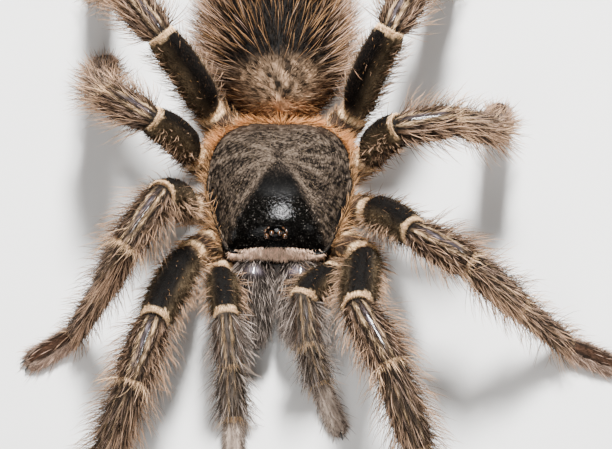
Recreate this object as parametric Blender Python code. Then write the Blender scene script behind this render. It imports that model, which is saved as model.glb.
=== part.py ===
"""A life-size female tarantula of the stripe-kneed kind, standing still on a floor.

The animal faces -Y, its left side is +X and the floor is z = 0. Lengths are in millimetres
until a point is handed to Blender, which works in metres. Every solid includes the coat of
short hair over the skin. Neighbouring solids meet face to face with a thin gap.
"""

import math

import bmesh
import bpy
from mathutils import Matrix, Vector

# Driving dimensions, in millimetres
MM = 0.001
CARAPACE_LENGTH = 21.0
JOINT_GAP = 0.3
FLOOR_FLAT = 0.25  # how much of a foot's round underside is pressed flat by the floor
SIDES = 12  # corners round a leg
SHARP_ANGLE = 40.0  # edges that bend by more degrees than this are shaded sharp
END_STATIONS = (0.12, 0.88)  # extra rings near both ends of a leg segment

# Segment lengths as shares of the carapace length: femur, patella, tibia, metatarsus, tarsus.
# A palp has no metatarsus.
LEG_SHARES = {
    "leg_1": (0.76, 0.43, 0.57, 0.52, 0.40),
    "leg_2": (0.69, 0.40, 0.49, 0.54, 0.35),
    "leg_3": (0.62, 0.34, 0.42, 0.53, 0.36),
    "leg_4": (0.74, 0.40, 0.56, 0.72, 0.40),
    "palp": (0.54, 0.33, 0.38, 0.38),
}
LEG_SEGMENTS = ("femur", "patella", "tibia", "metatarsus", "tarsus")
PALP_SEGMENTS = ("femur", "patella", "tibia", "tarsus")
GIRTH = {"leg_1": 1.0, "leg_2": 0.96, "leg_3": 0.95, "leg_4": 1.0, "palp": 0.8}

# Where each hip ends and the femur begins, on the animal's left: outwards, backwards, up.
HIP_ENDS = {
    "palp": (7.2, -11.6, 7.9),
    "leg_1": (11.3, -8.9, 8.0),
    "leg_2": (12.1, -1.8, 7.9),
    "leg_3": (11.7, 6.3, 8.1),
    "leg_4": (9.7, 13.1, 8.4),
}
# Where each coxa leaves the sternum, on the left.
HIP_ROOTS = {
    "palp": (3.4, -5.4, 5.6),
    "leg_1": (3.8, -3.4, 5.9),
    "leg_2": (4.2, -0.6, 5.9),
    "leg_3": (4.0, 2.6, 5.9),
    "leg_4": (3.0, 5.6, 5.9),
}

# The stance. Each segment has a heading, counted from straight ahead (0) through sideways (90)
# to straight back (180), and a rise above level, in degrees. None is worked out from the
# others, so that the foot comes down on the floor.
STANCE = {
    "left": {
        "palp": ((-25, 42), (13, -68), (36, None), (22, -4)),
        "leg_1": ((-3, 36), (26, 2), (29, -50), (30, None), (30, -4)),
        "leg_2": ((31, 42), (54, 6), (78, -50), (82, None), (67, -4)),
        "leg_3": ((52, 67), (99, 0), (116, -46), (174, None), (175, -42)),
        "leg_4": ((126, 68), (159, -5), (162, -38), (165, None), (168, -4)),
    },
    "right": {
        "palp": ((-8, 32), (-6, -58), (-4, None), (-1, -4)),
        "leg_1": ((14, 26), (13, 3), (40, -62), (42, None), (42, -4)),
        "leg_2": ((20, 63), (26, 4), (79, -69), (75, None), (55, -4)),
        "leg_3": ((64, 67), (124, -5), (162, -42), (174, None), (175, -46)),
        "leg_4": ((113, 66), (145, -5), (155, -38), (160, None), (164, -4)),
    },
}

# Half-width and half-height of each segment's skin, then the coat's depth over it.
SEGMENT_GIRTH = {
    "hip": (2.15, 2.25, 0.2),
    "femur": (2.1, 2.3, 0.35),
    "patella": (2.1, 2.0, 0.8),
    "tibia": (1.85, 1.8, 0.9),
    "metatarsus": (1.45, 1.4, 0.8),
    "tarsus": (1.45, 1.1, 0.4),
}
# Girth along each segment, as (share of its length, share of its full girth).
SWELL = {
    "hip": ((0.0, 0.62), (0.55, 0.98), (1.0, 0.92)),
    "femur": ((0.0, 0.70), (0.26, 1.0), (0.62, 1.0), (1.0, 0.92)),
    "patella": ((0.0, 0.84), (0.3, 1.0), (0.75, 1.0), (1.0, 0.88)),
    "tibia": ((0.0, 0.84), (0.3, 1.02), (0.75, 0.98), (1.0, 0.86)),
    "metatarsus": ((0.0, 0.98), (0.4, 1.0), (1.0, 0.88)),
    "tarsus": ((0.0, 0.88), (0.3, 1.0), (0.6, 1.0), (0.85, 0.95), (0.95, 0.72), (1.0, 0.38)),
}
FEMUR_BOW = 0.7  # how far the middle of a femur stands above a straight line

FINISHES = {
    "carapace": ((0.045, 0.040, 0.034), 0.55),
    "body_hair": ((0.060, 0.048, 0.036), 0.85),
    "abdomen_hair": ((0.090, 0.060, 0.040), 0.85),
    "leg_black": ((0.025, 0.022, 0.020), 0.80),
    "leg_striped": ((0.170, 0.130, 0.100), 0.80),
    "tarsus_brown": ((0.120, 0.095, 0.075), 0.85),
    "cheliceral_grey": ((0.150, 0.135, 0.120), 0.80),
    "fang_black": ((0.010, 0.008, 0.008), 0.18),
    "eye_dark": ((0.015, 0.010, 0.010), 0.10),
    "spinneret_brown": ((0.210, 0.120, 0.080), 0.80),
}


def clear_scene():
    for obj in list(bpy.data.objects):
        bpy.data.objects.remove(obj, do_unlink=True)


def make_materials():
    made = {}
    for name, (colour, roughness) in FINISHES.items():
        material = bpy.data.materials.new(name)
        material.use_nodes = True
        shader = material.node_tree.nodes["Principled BSDF"]
        shader.inputs["Base Color"].default_value = (*colour, 1.0)
        shader.inputs["Roughness"].default_value = roughness
        shader.inputs["Metallic"].default_value = 0.0
        made[name] = material
    return made


def smooth_steps(stations, t):
    """The value at t of stations (t, value), eased between neighbours."""
    for (t0, v0), (t1, v1) in zip(stations, stations[1:]):
        if t <= t1:
            share = (t - t0) / (t1 - t0)
            return v0 + (v1 - v0) * share * share * (3 - 2 * share)
    return stations[-1][1]


def object_from(name, builder, material, root, frame=None):
    """An object from a bmesh in millimetres, in the frame's own axes, placed by that frame."""
    bmesh.ops.scale(builder, vec=Vector((MM, MM, MM)), verts=builder.verts)
    bmesh.ops.recalc_face_normals(builder, faces=builder.faces)
    mesh = bpy.data.meshes.new(name)
    builder.to_mesh(mesh)
    builder.free()
    mesh.shade_smooth()
    mesh.set_sharp_from_angle(angle=math.radians(SHARP_ANGLE))
    mesh.materials.append(material)
    obj = bpy.data.objects.new(name, mesh)
    bpy.context.scene.collection.objects.link(obj)
    obj.parent = root
    if frame is not None:
        obj.location = frame.to_translation() * MM
        obj.rotation_euler = frame.to_euler()
    return obj


def hide_cutter(obj):
    obj.hide_render = True
    obj.display_type = "WIRE"


def add_boolean(obj, other, operation):
    modifier = obj.modifiers.new(f"{operation.lower()}_{other.name}", "BOOLEAN")
    modifier.operation = operation
    modifier.solver = "EXACT"
    modifier.object = other


def skin_rings(rings):
    """A closed bmesh from rings of points, each ring joined to the next and the ends filled."""
    builder = bmesh.new()
    rows = [[builder.verts.new(point) for point in ring] for ring in rings]
    count = len(rows[0])
    for near, far in zip(rows, rows[1:]):
        for i in range(count):
            j = (i + 1) % count
            builder.faces.new((near[i], near[j], far[j], far[i]))
    builder.faces.new(rows[0][::-1])
    builder.faces.new(rows[-1])
    return builder


def segment_frame(start, end):
    """Axes of a segment: local Y runs along it, local Z is its upper side, local X is level."""
    along = (end - start).normalized()
    across = along.cross(Vector((0, 0, 1))).normalized()
    upper = across.cross(along)
    turn = Matrix((across, along, upper)).transposed().to_4x4()
    return Matrix.Translation(start) @ turn


def plane_height(normal, x, z):
    """How far along local Y a plane through the origin lies, at local x and z."""
    return -(normal.x * x + normal.z * z) / normal.y


class Limb:
    """One leg or palp: its joints in space, and the planes that part its segments."""

    def __init__(self, kind, side):
        self.kind = kind
        self.side = side
        self.mirror = 1 if side == "left" else -1
        self.segments = PALP_SEGMENTS if kind == "palp" else LEG_SEGMENTS
        self.lengths = [share * CARAPACE_LENGTH for share in LEG_SHARES[kind]]
        self.joints = self.place_joints()

    def mirrored(self, point):
        return Vector((point[0] * self.mirror, point[1], point[2]))

    def direction(self, heading, rise):
        """The unit vector of a heading and a rise, on this limb's side."""
        heading, rise = math.radians(heading), math.radians(rise)
        level = math.cos(rise)
        return self.mirrored(
            (math.sin(heading) * level, -math.cos(heading) * level, math.sin(rise))
        )

    def place_joints(self):
        """Joints from the hip's root to the tarsus's tip. The open segment reaches the floor."""
        stance = STANCE[self.side][self.kind]
        joints = [self.mirrored(HIP_ROOTS[self.kind]), self.mirrored(HIP_ENDS[self.kind])]
        ankle_height = self.ankle_height(math.radians(-stance[-1][1]))
        for (heading, rise), length in zip(stance, self.lengths):
            if rise is None:
                fall = (joints[-1].z - ankle_height) / length
                rise = -math.degrees(math.asin(fall))
            joints.append(joints[-1] + self.direction(heading, rise) * length)
        return joints

    def ankle_height(self, dip):
        """How high a tarsus starts that dips by an angle and presses FLOOR_FLAT into the floor."""
        _, high, coat = SEGMENT_GIRTH["tarsus"]
        undersides = [
            t * self.lengths[-1] * math.sin(dip)
            + (high * GIRTH[self.kind] * swell + coat) * math.cos(dip)
            for t, swell in SWELL["tarsus"]
        ]
        return max(undersides) - FLOOR_FLAT

    def mitre(self, index):
        """The normal of the plane that parts the segments on both sides of a joint."""
        before = (self.joints[index] - self.joints[index - 1]).normalized()
        after = (self.joints[index + 1] - self.joints[index]).normalized()
        return (before + after).normalized()

    def rings(self, index, segment, extra=0.0):
        """The rings of one segment in its own frame, cut to the planes at both its ends."""
        start, end = self.joints[index], self.joints[index + 1]
        frame = segment_frame(start, end)
        to_local = frame.to_3x3().transposed()
        length = (end - start).length
        wide, high, coat = SEGMENT_GIRTH[segment]
        girth = GIRTH[self.kind]
        free_tip = index == len(self.joints) - 2
        first = to_local @ self.mitre(index) if index > 0 else Vector((0, 1, 0))
        last = Vector((0, 1, 0)) if free_tip else to_local @ self.mitre(index + 1)
        stations = [t for t, _ in SWELL[segment]]
        if segment in ("femur", "patella", "tibia"):
            stations = sorted({*stations, *END_STATIONS})
        rings = []
        for t in stations:
            swell = smooth_steps(SWELL[segment], t)
            bow = FEMUR_BOW * 4 * t * (1 - t) if segment == "femur" else 0.0
            ring = []
            for i in range(SIDES):
                angle = 2 * math.pi * (i + 0.5) / SIDES
                x = (wide * girth * swell + coat + extra) * math.cos(angle)
                z = (high * girth * swell + coat + extra) * math.sin(angle)
                gap = JOINT_GAP / 2
                near = plane_height(first, x, z) + (gap / first.y if index > 0 else 0.0)
                far = length + plane_height(last, x, z) - (0.0 if free_tip else gap / last.y)
                ring.append(Vector((x, near + (far - near) * t, z + bow)))
            rings.append(ring)
        return frame, rings

    def build_segment(self, index, segment, material, root):
        frame, rings = self.rings(index, segment)
        rings = press_flat(frame, rings)
        name = f"{self.kind}_{self.side}_{segment}"
        return object_from(name, skin_rings(rings), material, root, frame)

    def build_hip(self, material, root):
        frame, rings = self.rings(0, "hip")
        name = f"{self.kind}_{self.side}_hip"
        return object_from(name, skin_rings(rings), material, root, frame)

    def make_room(self, neighbour, material, root):
        """Hollows a neighbour where this limb's hip and femur press against it."""
        for index, segment in enumerate(("hip", "femur")):
            frame, rings = self.rings(index, segment, JOINT_GAP)
            name = f"{self.kind}_{self.side}_{segment}_room"
            room = object_from(name, skin_rings(rings), material, root, frame)
            hide_cutter(room)
            add_boolean(neighbour, room, "DIFFERENCE")


def press_flat(frame, rings):
    """Lifts every point that is under the floor onto it, which gives a foot a flat sole."""
    to_local = frame.inverted()
    pressed = []
    for ring in rings:
        spots = [frame @ point for point in ring]
        pressed.append([to_local @ Vector((p.x, p.y, max(p.z, 0.0))) for p in spots])
    return pressed


# Carapace: the left half of its outline, from the middle of the front edge to the rear notch.
CARAPACE_OUTLINE = (
    (0.0, -10.7), (4.4, -10.5), (6.5, -9.7), (7.6, -6.9), (8.9, -2.6),
    (9.5, 1.6), (8.9, 5.6), (6.9, 8.9), (3.6, 10.5), (0.0, 9.8),
)  # fmt: skip
CARAPACE_RIDGE = (
    (-10.7, 3.3), (-9.0, 4.6), (-4.0, 4.9), (1.0, 4.4), (3.9, 3.7), (7.0, 3.1), (10.6, 1.0),
)  # fmt: skip
CARAPACE_EDGE_BACK = 9.3
CARAPACE_EDGE_FRONT = 10.4
CARAPACE_EDGE_THICKNESS = 0.5
CARAPACE_MIDDLE_Y = -0.5  # its rings shrink towards this point
CARAPACE_RINGS = (1.0, 0.94, 0.84, 0.66, 0.42, 0.2)
OUTLINE_STEPS = 2  # points on each stretch between two outline points
EDGE_RISE_START = -2.0  # in front of this the edge rises towards the front corners
EDGE_RISE_LENGTH = 8.0
FRONT_STEEPNESS = 9.0
SIDE_STEEPNESS = 2.5
STEEP_FRONT_REACH = 4.0  # how far behind the front edge the steep face fades out


def through(points, steps):
    """Points on a smooth curve through the given ones, ends included."""
    padded = [points[0], *points, points[-1]]
    found = []
    for a, b, c, d in zip(padded, padded[1:], padded[2:], padded[3:]):
        for k in range(steps):
            t = k / steps
            found.append(tuple(catmull(p, q, r, s, t) for p, q, r, s in zip(a, b, c, d)))
    return [*found, points[-1]]


def catmull(a, b, c, d, t):
    """One coordinate of a Catmull-Rom curve between b and c."""
    square, cube = t * t, t * t * t
    return 0.5 * (
        2 * b + (c - a) * t + (2 * a - 5 * b + 4 * c - d) * square + (3 * b - a - 3 * c + d) * cube
    )


def carapace_outline():
    half = through(CARAPACE_OUTLINE, OUTLINE_STEPS)
    return half + [(-x, y) for x, y in half[-2:0:-1]]


def carapace_rise(y, ring):
    """Height of the dome above its edge, at a share of the way out from the middle."""
    front = max(0.0, 1 - (y + CARAPACE_LENGTH / 2) / STEEP_FRONT_REACH)
    power = SIDE_STEEPNESS + (FRONT_STEEPNESS - SIDE_STEEPNESS) * min(front, 1.0)
    return smooth_steps(CARAPACE_RIDGE, y) * (1 - ring**power)


def build_carapace(material, root, grow=0.0, name="carapace"):
    """A low dome with a flat underside. grow makes it larger all round, for use as a cutter."""
    outline = carapace_outline()
    middle = Vector((0.0, CARAPACE_MIDDLE_Y))
    floor = CARAPACE_EDGE_BACK - CARAPACE_EDGE_THICKNESS - grow
    rings = []
    under = []
    for x, y in outline:
        out = (Vector((x, y)) - middle).normalized() * grow
        under.append(Vector((x + out.x, y + out.y, floor)))
    rings.append(under)
    for ring in CARAPACE_RINGS:
        row = []
        for x, y in outline:
            spot = middle + (Vector((x, y)) - middle) * ring
            out = (Vector((x, y)) - middle).normalized() * grow * ring
            share = min(1.0, max(0.0, (EDGE_RISE_START - spot.y) / EDGE_RISE_LENGTH))
            edge = CARAPACE_EDGE_BACK + (CARAPACE_EDGE_FRONT - CARAPACE_EDGE_BACK) * share
            height = edge + carapace_rise(spot.y, ring) * (1 if ring < 1 else 0)
            row.append(Vector((spot.x + out.x, spot.y + out.y, height + grow)))
        rings.append(row)
    return object_from(name, skin_rings(rings), material, root)


# The bodies that hang on the prosoma
STERNUM_HALF = (6.2, 8.2)
STERNUM_UNDER = 3.0
STERNUM_TOP = 8.3
STERNUM_MIDDLE_Y = 0.2
STERNUM_LEVELS = ((0.0, 0.72), (0.12, 0.90), (0.35, 1.0), (0.8, 1.0), (1.0, 0.92))
LABIUM_HALF = (1.7, 1.3, 1.2)
LABIUM_MIDDLE = (0.0, -7.4, 4.0)


def build_sternum(material, root):
    """The plate under the prosoma, a flattened oval that carries the hips."""
    rings = []
    for level, share in STERNUM_LEVELS:
        z = STERNUM_UNDER + (STERNUM_TOP - STERNUM_UNDER) * level
        rings.append(oval_ring(STERNUM_HALF[0] * share, STERNUM_HALF[1] * share, z, STERNUM_MIDDLE_Y))
    return object_from("prosoma_underside", skin_rings(rings), material, root)


def oval_ring(half_x, half_y, z, middle_y=0.0, count=18):
    return [
        Vector((half_x * math.cos(a), middle_y + half_y * math.sin(a), z))
        for a in (2 * math.pi * i / count for i in range(count))
    ]


def tube_along(path, sizes, sides=SIDES):
    """Rings of half-width and half-height sizes, square to a path of points."""
    rings = []
    for i, point in enumerate(path):
        before, after = path[max(i - 1, 0)], path[min(i + 1, len(path) - 1)]
        along = (Vector(after) - Vector(before)).normalized()
        across = along.cross(Vector((0, 0, 1)))
        across = across.normalized() if across.length > 1e-3 else Vector((1, 0, 0))
        upper = across.cross(along)
        wide, high = sizes[i]
        ring = []
        for k in range(sides):
            angle = 2 * math.pi * (k + 0.5) / sides
            ring.append(Vector(point) + across * wide * math.cos(angle) + upper * high * math.sin(angle))
        rings.append(ring)
    return rings


def build_labium(material, root):
    builder = bmesh.new()
    bmesh.ops.create_icosphere(builder, subdivisions=2, radius=1.0)
    bmesh.ops.scale(builder, vec=Vector(LABIUM_HALF), verts=builder.verts)
    bmesh.ops.translate(builder, vec=Vector(LABIUM_MIDDLE), verts=builder.verts)
    return object_from("labium", builder, material, root)


# Chelicera, left: the path of its middle and its half-width and half-height there.
CHELICERA_PATH = (
    (2.5, -9.3, 7.6), (3.0, -11.6, 7.8), (3.0, -14.0, 7.4),
    (2.85, -16.4, 6.6), (2.65, -18.5, 5.5), (2.5, -19.7, 4.8),
)  # fmt: skip
CHELICERA_SIZE = ((2.1, 1.9), (2.8, 2.6), (2.8, 2.7), (2.55, 2.5), (2.1, 2.1), (1.3, 1.3))
# Fang, left: from its hinge at the chelicera's tip, folded back beneath it.
FANG_PATH = (
    (2.45, -19.3, 2.75), (2.5, -18.3, 1.9), (2.5, -16.6, 1.5),
    (2.4, -14.8, 1.55), (2.2, -13.2, 2.0), (2.0, -12.2, 2.6),
)  # fmt: skip
FANG_SIZE = ((0.75, 0.7), (0.72, 0.65), (0.6, 0.55), (0.45, 0.42), (0.3, 0.28), (0.12, 0.12))


def build_paired(name, path, sizes, material, root, sides=SIDES):
    """A tube on the left and its mirror on the right."""
    made = []
    for side, mirror in (("left", 1), ("right", -1)):
        own_path = [(x * mirror, y, z) for x, y, z in path]
        rings = tube_along(own_path, sizes, sides)
        made.append(object_from(f"{name}_{side}", skin_rings(rings), material, root))
    return made


# Eyes: a low mound with four eyes on each side, as (across, along, up, radius).
TUBERCLE_MIDDLE = (0.0, -8.9, 13.7)
TUBERCLE_HALF = (1.45, 1.05, 0.85)
EYES = (
    (0.52, -0.42, 0.62, 0.34), (1.18, -0.62, 0.22, 0.36),
    (0.95, 0.42, 0.42, 0.24), (1.32, 0.12, 0.20, 0.28),
)  # fmt: skip


def build_eye_tubercle(material, root):
    """The eye mound, with its eight eyes joined to it and its foot cut off above the carapace."""
    builder = bmesh.new()
    bmesh.ops.create_uvsphere(builder, u_segments=12, v_segments=7, radius=1.0)
    bmesh.ops.scale(builder, vec=Vector(TUBERCLE_HALF), verts=builder.verts)
    bmesh.ops.translate(builder, vec=Vector(TUBERCLE_MIDDLE), verts=builder.verts)
    mound = object_from("eye_tubercle", builder, material, root)
    for mirror in (1, -1):
        for x, y, z, radius in EYES:
            builder = bmesh.new()
            bmesh.ops.create_icosphere(builder, subdivisions=1, radius=radius)
            spot = Vector(TUBERCLE_MIDDLE) + Vector((x * mirror, y, z))
            bmesh.ops.translate(builder, vec=spot, verts=builder.verts)
            eye = object_from("eye_tool", builder, material, root)
            hide_cutter(eye)
            add_boolean(mound, eye, "UNION")
    return mound


# Abdomen: its middle, half-sizes with the coat, and how far it is turned to the right.
PEDICEL_PATH = ((0.0, 8.75, 6.9), (0.0, 10.3, 7.3), (-0.1, 11.9, 7.5))
PEDICEL_SIZE = ((1.5, 1.4), (1.3, 1.3), (1.4, 1.4))
ABDOMEN_START = (-0.15, 12.2, 7.7)
ABDOMEN_LENGTH = 27.5
ABDOMEN_TURN = 4.5
ABDOMEN_WIDE = 10.6
ABDOMEN_HIGH = 8.2
ABDOMEN_FALL = 0.8  # how much lower its rear end lies than its front end
ABDOMEN_SWELL = (
    (0.0, 0.22), (0.03, 0.45), (0.1, 0.68), (0.22, 0.87), (0.4, 0.98),
    (0.58, 1.0), (0.76, 0.92), (0.9, 0.70), (0.975, 0.42), (1.0, 0.2),
)  # fmt: skip
ABDOMEN_LIFT = 1.8  # its middle stands higher than its ends by this
ABDOMEN_SIDES = 16
SPINNERET_SPREAD = 1.7
SPINNERET_DROP = 1.9  # below the abdomen's own middle line


def abdomen_axis(t):
    """A point on the abdomen's middle line, from the pedicel (0) to the rear end (1)."""
    turn = math.radians(ABDOMEN_TURN)
    reach = ABDOMEN_LENGTH * t
    start = Vector(ABDOMEN_START)
    lift = ABDOMEN_LIFT * 4 * t * (1 - t) - ABDOMEN_FALL * t
    return start + Vector((-math.sin(turn) * reach, math.cos(turn) * reach, lift))


def build_abdomen(material, root, grow=0.0, name="abdomen"):
    """An oval bag round its middle line. grow makes it larger all round, for use as a cutter."""
    turn = math.radians(ABDOMEN_TURN)
    along = Vector((-math.sin(turn), math.cos(turn), 0))
    across = Vector((math.cos(turn), math.sin(turn), 0))
    rings = []
    for t, swell in ABDOMEN_SWELL:
        middle = abdomen_axis(t) + along * grow * (2 * t - 1)
        wide = ABDOMEN_WIDE * swell + grow
        high = ABDOMEN_HIGH * swell + grow
        ring = []
        for i in range(ABDOMEN_SIDES):
            angle = 2 * math.pi * (i + 0.5) / ABDOMEN_SIDES
            up = Vector((0, 0, high * math.sin(angle)))
            ring.append(middle + across * wide * math.cos(angle) + up)
        rings.append(ring)
    return object_from(name, skin_rings(rings), material, root)


SPINNERET_STEPS = ((0.0, -1.6, -0.2), (0.4, 1.6, 0.1), (0.8, 4.4, 0.7), (1.1, 7.0, 1.7))
SPINNERET_SIZE = ((1.0, 0.9), (0.95, 0.85), (0.75, 0.7), (0.35, 0.35))


def build_spinnerets(material, root):
    """The long hind pair, rooted under the abdomen's rear end."""
    tail = abdomen_axis(1.0) - Vector((0, 0, SPINNERET_DROP))
    room = build_abdomen(material, root, JOINT_GAP, "abdomen_room")
    hide_cutter(room)
    for side, mirror in (("left", 1), ("right", -1)):
        path = [
            tail + Vector(((SPINNERET_SPREAD + x) * mirror, y, z)) for x, y, z in SPINNERET_STEPS
        ]
        rings = tube_along(path, SPINNERET_SIZE, 10)
        spinneret = object_from(f"spinneret_{side}", skin_rings(rings), material, root)
        add_boolean(spinneret, room, "DIFFERENCE")


def centre_on_floor(root):
    """Moves the whole animal so that the origin is under the middle of its box, on the floor."""
    bpy.context.view_layer.update()
    low = Vector((math.inf,) * 3)
    high = Vector((-math.inf,) * 3)
    for obj in root.children:
        if obj.hide_render:
            continue
        for vertex in obj.data.vertices:
            point = obj.matrix_world @ vertex.co
            low = Vector(map(min, low, point))
            high = Vector(map(max, high, point))
    middle = (low + high) / 2
    root.location = (-middle.x, -middle.y, 0.0)


def main():
    clear_scene()
    materials = make_materials()
    root = bpy.data.objects.new("tarantula", None)
    bpy.context.scene.collection.objects.link(root)

    build_carapace(materials["carapace"], root)
    underside = build_sternum(materials["body_hair"], root)
    labium = build_labium(materials["body_hair"], root)
    hide_cutter(labium)
    add_boolean(underside, labium, "UNION")
    segment_finish = {
        "femur": "leg_black",
        "patella": "leg_striped",
        "tibia": "leg_striped",
        "metatarsus": "leg_striped",
        "tarsus": "tarsus_brown",
    }
    limbs = [Limb(kind, side) for side in ("left", "right") for kind in LEG_SHARES]
    for limb in limbs:
        hip = limb.build_hip(materials["body_hair"], root)
        hide_cutter(hip)
        add_boolean(underside, hip, "UNION")
        for index, segment in enumerate(limb.segments, start=1):
            limb.build_segment(index, segment, materials[segment_finish[segment]], root)
    dome = build_carapace(materials["carapace"], root, JOINT_GAP, "carapace_room")
    hide_cutter(dome)
    add_boolean(underside, dome, "DIFFERENCE")

    grey = materials["cheliceral_grey"]
    chelicerae = build_paired("chelicera", CHELICERA_PATH, CHELICERA_SIZE, grey, root)
    palps = [limb for limb in limbs if limb.kind == "palp"]
    for chelicera, palp in zip(chelicerae, palps):
        add_boolean(chelicera, dome, "DIFFERENCE")
        palp.make_room(chelicera, grey, root)
    build_paired("fang", FANG_PATH, FANG_SIZE, materials["fang_black"], root, 8)
    mound = build_eye_tubercle(materials["eye_dark"], root)
    add_boolean(mound, dome, "DIFFERENCE")
    pedicel = tube_along(PEDICEL_PATH, PEDICEL_SIZE)
    object_from("pedicel", skin_rings(pedicel), materials["body_hair"], root)
    build_abdomen(materials["abdomen_hair"], root)
    build_spinnerets(materials["spinneret_brown"], root)
    centre_on_floor(root)


main()
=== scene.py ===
"""The look of a life-size stripe-kneed tarantula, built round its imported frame.

Lengths are in millimetres until a mesh is made, and angles in degrees where a name says so.
The animal faces -Y, its left side is +X and the floor is z = 0. Every surface of the body is
a function of s, how far along it a point lies, and a, which way round, so the skin, its
markings and the roots of the hairs all come from the same formulas.
"""

import logging
import math
from collections.abc import Callable, Iterable, Sequence
from dataclasses import dataclass, field, replace
from enum import Enum

import bpy
import numpy as np
from mathutils import Matrix, Vector


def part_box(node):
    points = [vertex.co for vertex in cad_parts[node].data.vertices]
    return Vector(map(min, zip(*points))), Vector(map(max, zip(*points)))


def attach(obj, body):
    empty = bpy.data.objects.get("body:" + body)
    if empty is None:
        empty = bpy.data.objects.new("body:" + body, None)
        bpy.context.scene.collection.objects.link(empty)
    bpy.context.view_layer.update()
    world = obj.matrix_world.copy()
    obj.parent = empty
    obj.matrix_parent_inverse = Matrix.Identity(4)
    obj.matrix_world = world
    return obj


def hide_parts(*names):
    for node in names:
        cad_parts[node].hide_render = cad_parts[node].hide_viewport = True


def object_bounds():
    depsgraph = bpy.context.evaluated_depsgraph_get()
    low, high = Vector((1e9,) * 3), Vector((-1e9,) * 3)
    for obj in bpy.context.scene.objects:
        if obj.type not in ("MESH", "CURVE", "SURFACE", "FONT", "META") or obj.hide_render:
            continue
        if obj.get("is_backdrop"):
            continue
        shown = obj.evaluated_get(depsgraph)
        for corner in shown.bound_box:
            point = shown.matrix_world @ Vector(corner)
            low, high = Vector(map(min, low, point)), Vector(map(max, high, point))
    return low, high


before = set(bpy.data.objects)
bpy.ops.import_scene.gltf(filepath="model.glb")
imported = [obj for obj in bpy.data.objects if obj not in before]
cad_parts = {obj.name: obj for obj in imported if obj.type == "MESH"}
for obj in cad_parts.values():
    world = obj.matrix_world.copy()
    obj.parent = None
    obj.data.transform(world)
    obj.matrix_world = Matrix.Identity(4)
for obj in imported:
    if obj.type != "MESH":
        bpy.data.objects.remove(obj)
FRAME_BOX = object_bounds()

log = logging.getLogger("tarantula")

Array = np.ndarray
Weight = Callable[[Array, Array], Array]
Point = tuple[float, float, float]
Pairs = Sequence[tuple[float, float]]
Random = np.random.Generator

MM = 0.001
TURN = 2 * math.pi
UP = np.array((0.0, 0.0, 1.0))
MIRRORS = {"left": 1.0, "right": -1.0}
FRONT_EDGE = -10.7  # the carapace's front edge, from the middle of the prosoma
RING_CORNERS = 12  # how many corners of a node's mesh make the ring at its end
PATCH = 0.003  # how wide and high one hair is on its piece's colour map
CAP = 0.03  # the share of a colour map's height that the end of a shell takes
FLOOR_CLEARANCE = 0.02  # the lowest a hair hangs
SOLE = 0.25  # the lowest the skin of a limb lies
SMALL_STEP = 2e-3  # for directions on a surface
ROOT_DEPTH = 0.06  # how deep in the skin a hair starts
TAPER = 0.7  # how much of its radius a hair has lost at its tip
DROOP = 0.04  # how far a hair's tip sinks, as a share of its length
DARKEST, BRIGHTEST = 0.2, 2.4  # the limits of a hair's own brightness


# ---------------------------------------------------------------- colours and helpers


class Hue(Enum):
    """The colours of the animal, as 8-bit display values."""

    VELVET = (9, 8, 7)
    SOOT = (26, 21, 17)
    EARTH = (54, 40, 30)
    TAUPE = (104, 86, 70)
    OLIVE = (116, 98, 74)
    CREAM = (255, 214, 164)
    PEACH = (250, 188, 128)
    ORANGE = (214, 132, 68)
    RUST = (140, 74, 36)
    TAN = (224, 180, 144)
    GOLD = (228, 172, 118)
    PINK = (255, 212, 184)
    FROST = (255, 222, 194)
    GREY = (122, 112, 102)
    PALE_GREY = (214, 194, 180)
    BARE = (72, 62, 68)
    # painted highlight: a pale shine laid into the colour of bare, glossy skin
    SHEEN = (214, 202, 216)

    @property
    def linear(self) -> Array:
        """The colour in linear light."""
        value = np.array(self.value) / 255.0
        return np.where(value <= 0.04045, value / 12.92, ((value + 0.055) / 1.055) ** 2.4)


Colour = Array | Hue


def painted(colour: Colour, *coats: tuple[Colour, Array | float]) -> Array:
    """A colour with others laid over it in turn, each mixed in linear light.

    Args:
        colour: The ground, as one colour or one for each point.
        coats: What is laid over it, and its share from 0 to 1 at each point.

    Returns:
        The colour that shows at each point.
    """
    for coat, share in coats:
        below, above = (part.linear if isinstance(part, Hue) else part for part in (colour, coat))
        share = np.asarray(share)[..., None]
        colour = below * (1 - share) + above * share
    return colour


def capped(colours: Array) -> Array:
    """Colours scaled down, where they are too bright, until no channel passes 1."""
    return colours / np.maximum(colours.max(axis=-1, keepdims=True), 1.0)


def unit(vectors: Array) -> Array:
    """Vectors of length 1 along the last axis."""
    return vectors / np.maximum(np.linalg.norm(vectors, axis=-1, keepdims=True), 1e-9)


def dot(left: Array, right: Array) -> Array:
    """Dot products along the last axis."""
    return np.sum(left * right, axis=-1)


def ease(value: Array, start: Array | float, end: Array | float) -> Array:
    """0 at start, 1 at end and smooth between, whichever of the two is larger."""
    share = np.clip((value - start) / (end - start), 0.0, 1.0)
    return share * share * (3 - 2 * share)


def hump(value: Array, middle: Array | float, width: float) -> Array:
    """A bell of height 1 round a middle value."""
    return np.exp(-(((value - middle) / width) ** 2))


def eased_table(stations: Pairs, t: Array) -> Array:
    """Values of (t, value) stations at many t, eased between neighbouring stations."""
    places, values = np.array(stations).T
    index = np.clip(np.searchsorted(places, t, side="right") - 1, 0, len(places) - 2)
    share = ease(t, places[index], places[index + 1])
    return values[index] + (values[index + 1] - values[index]) * share


def smoothed_table(stations: Pairs, at: Array, window: Array | float) -> Array:
    """Straight lines between stations, averaged over a window.

    Args:
        stations: Places and the values there.
        at: The places asked about.
        window: How far to both sides of them the mean is taken.

    Returns:
        One value for each place.
    """
    places, values = np.array(stations).T
    shifts = np.linspace(-1, 1, 9)
    return np.mean([np.interp(at + window * shift, places, values) for shift in shifts], axis=0)


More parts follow.
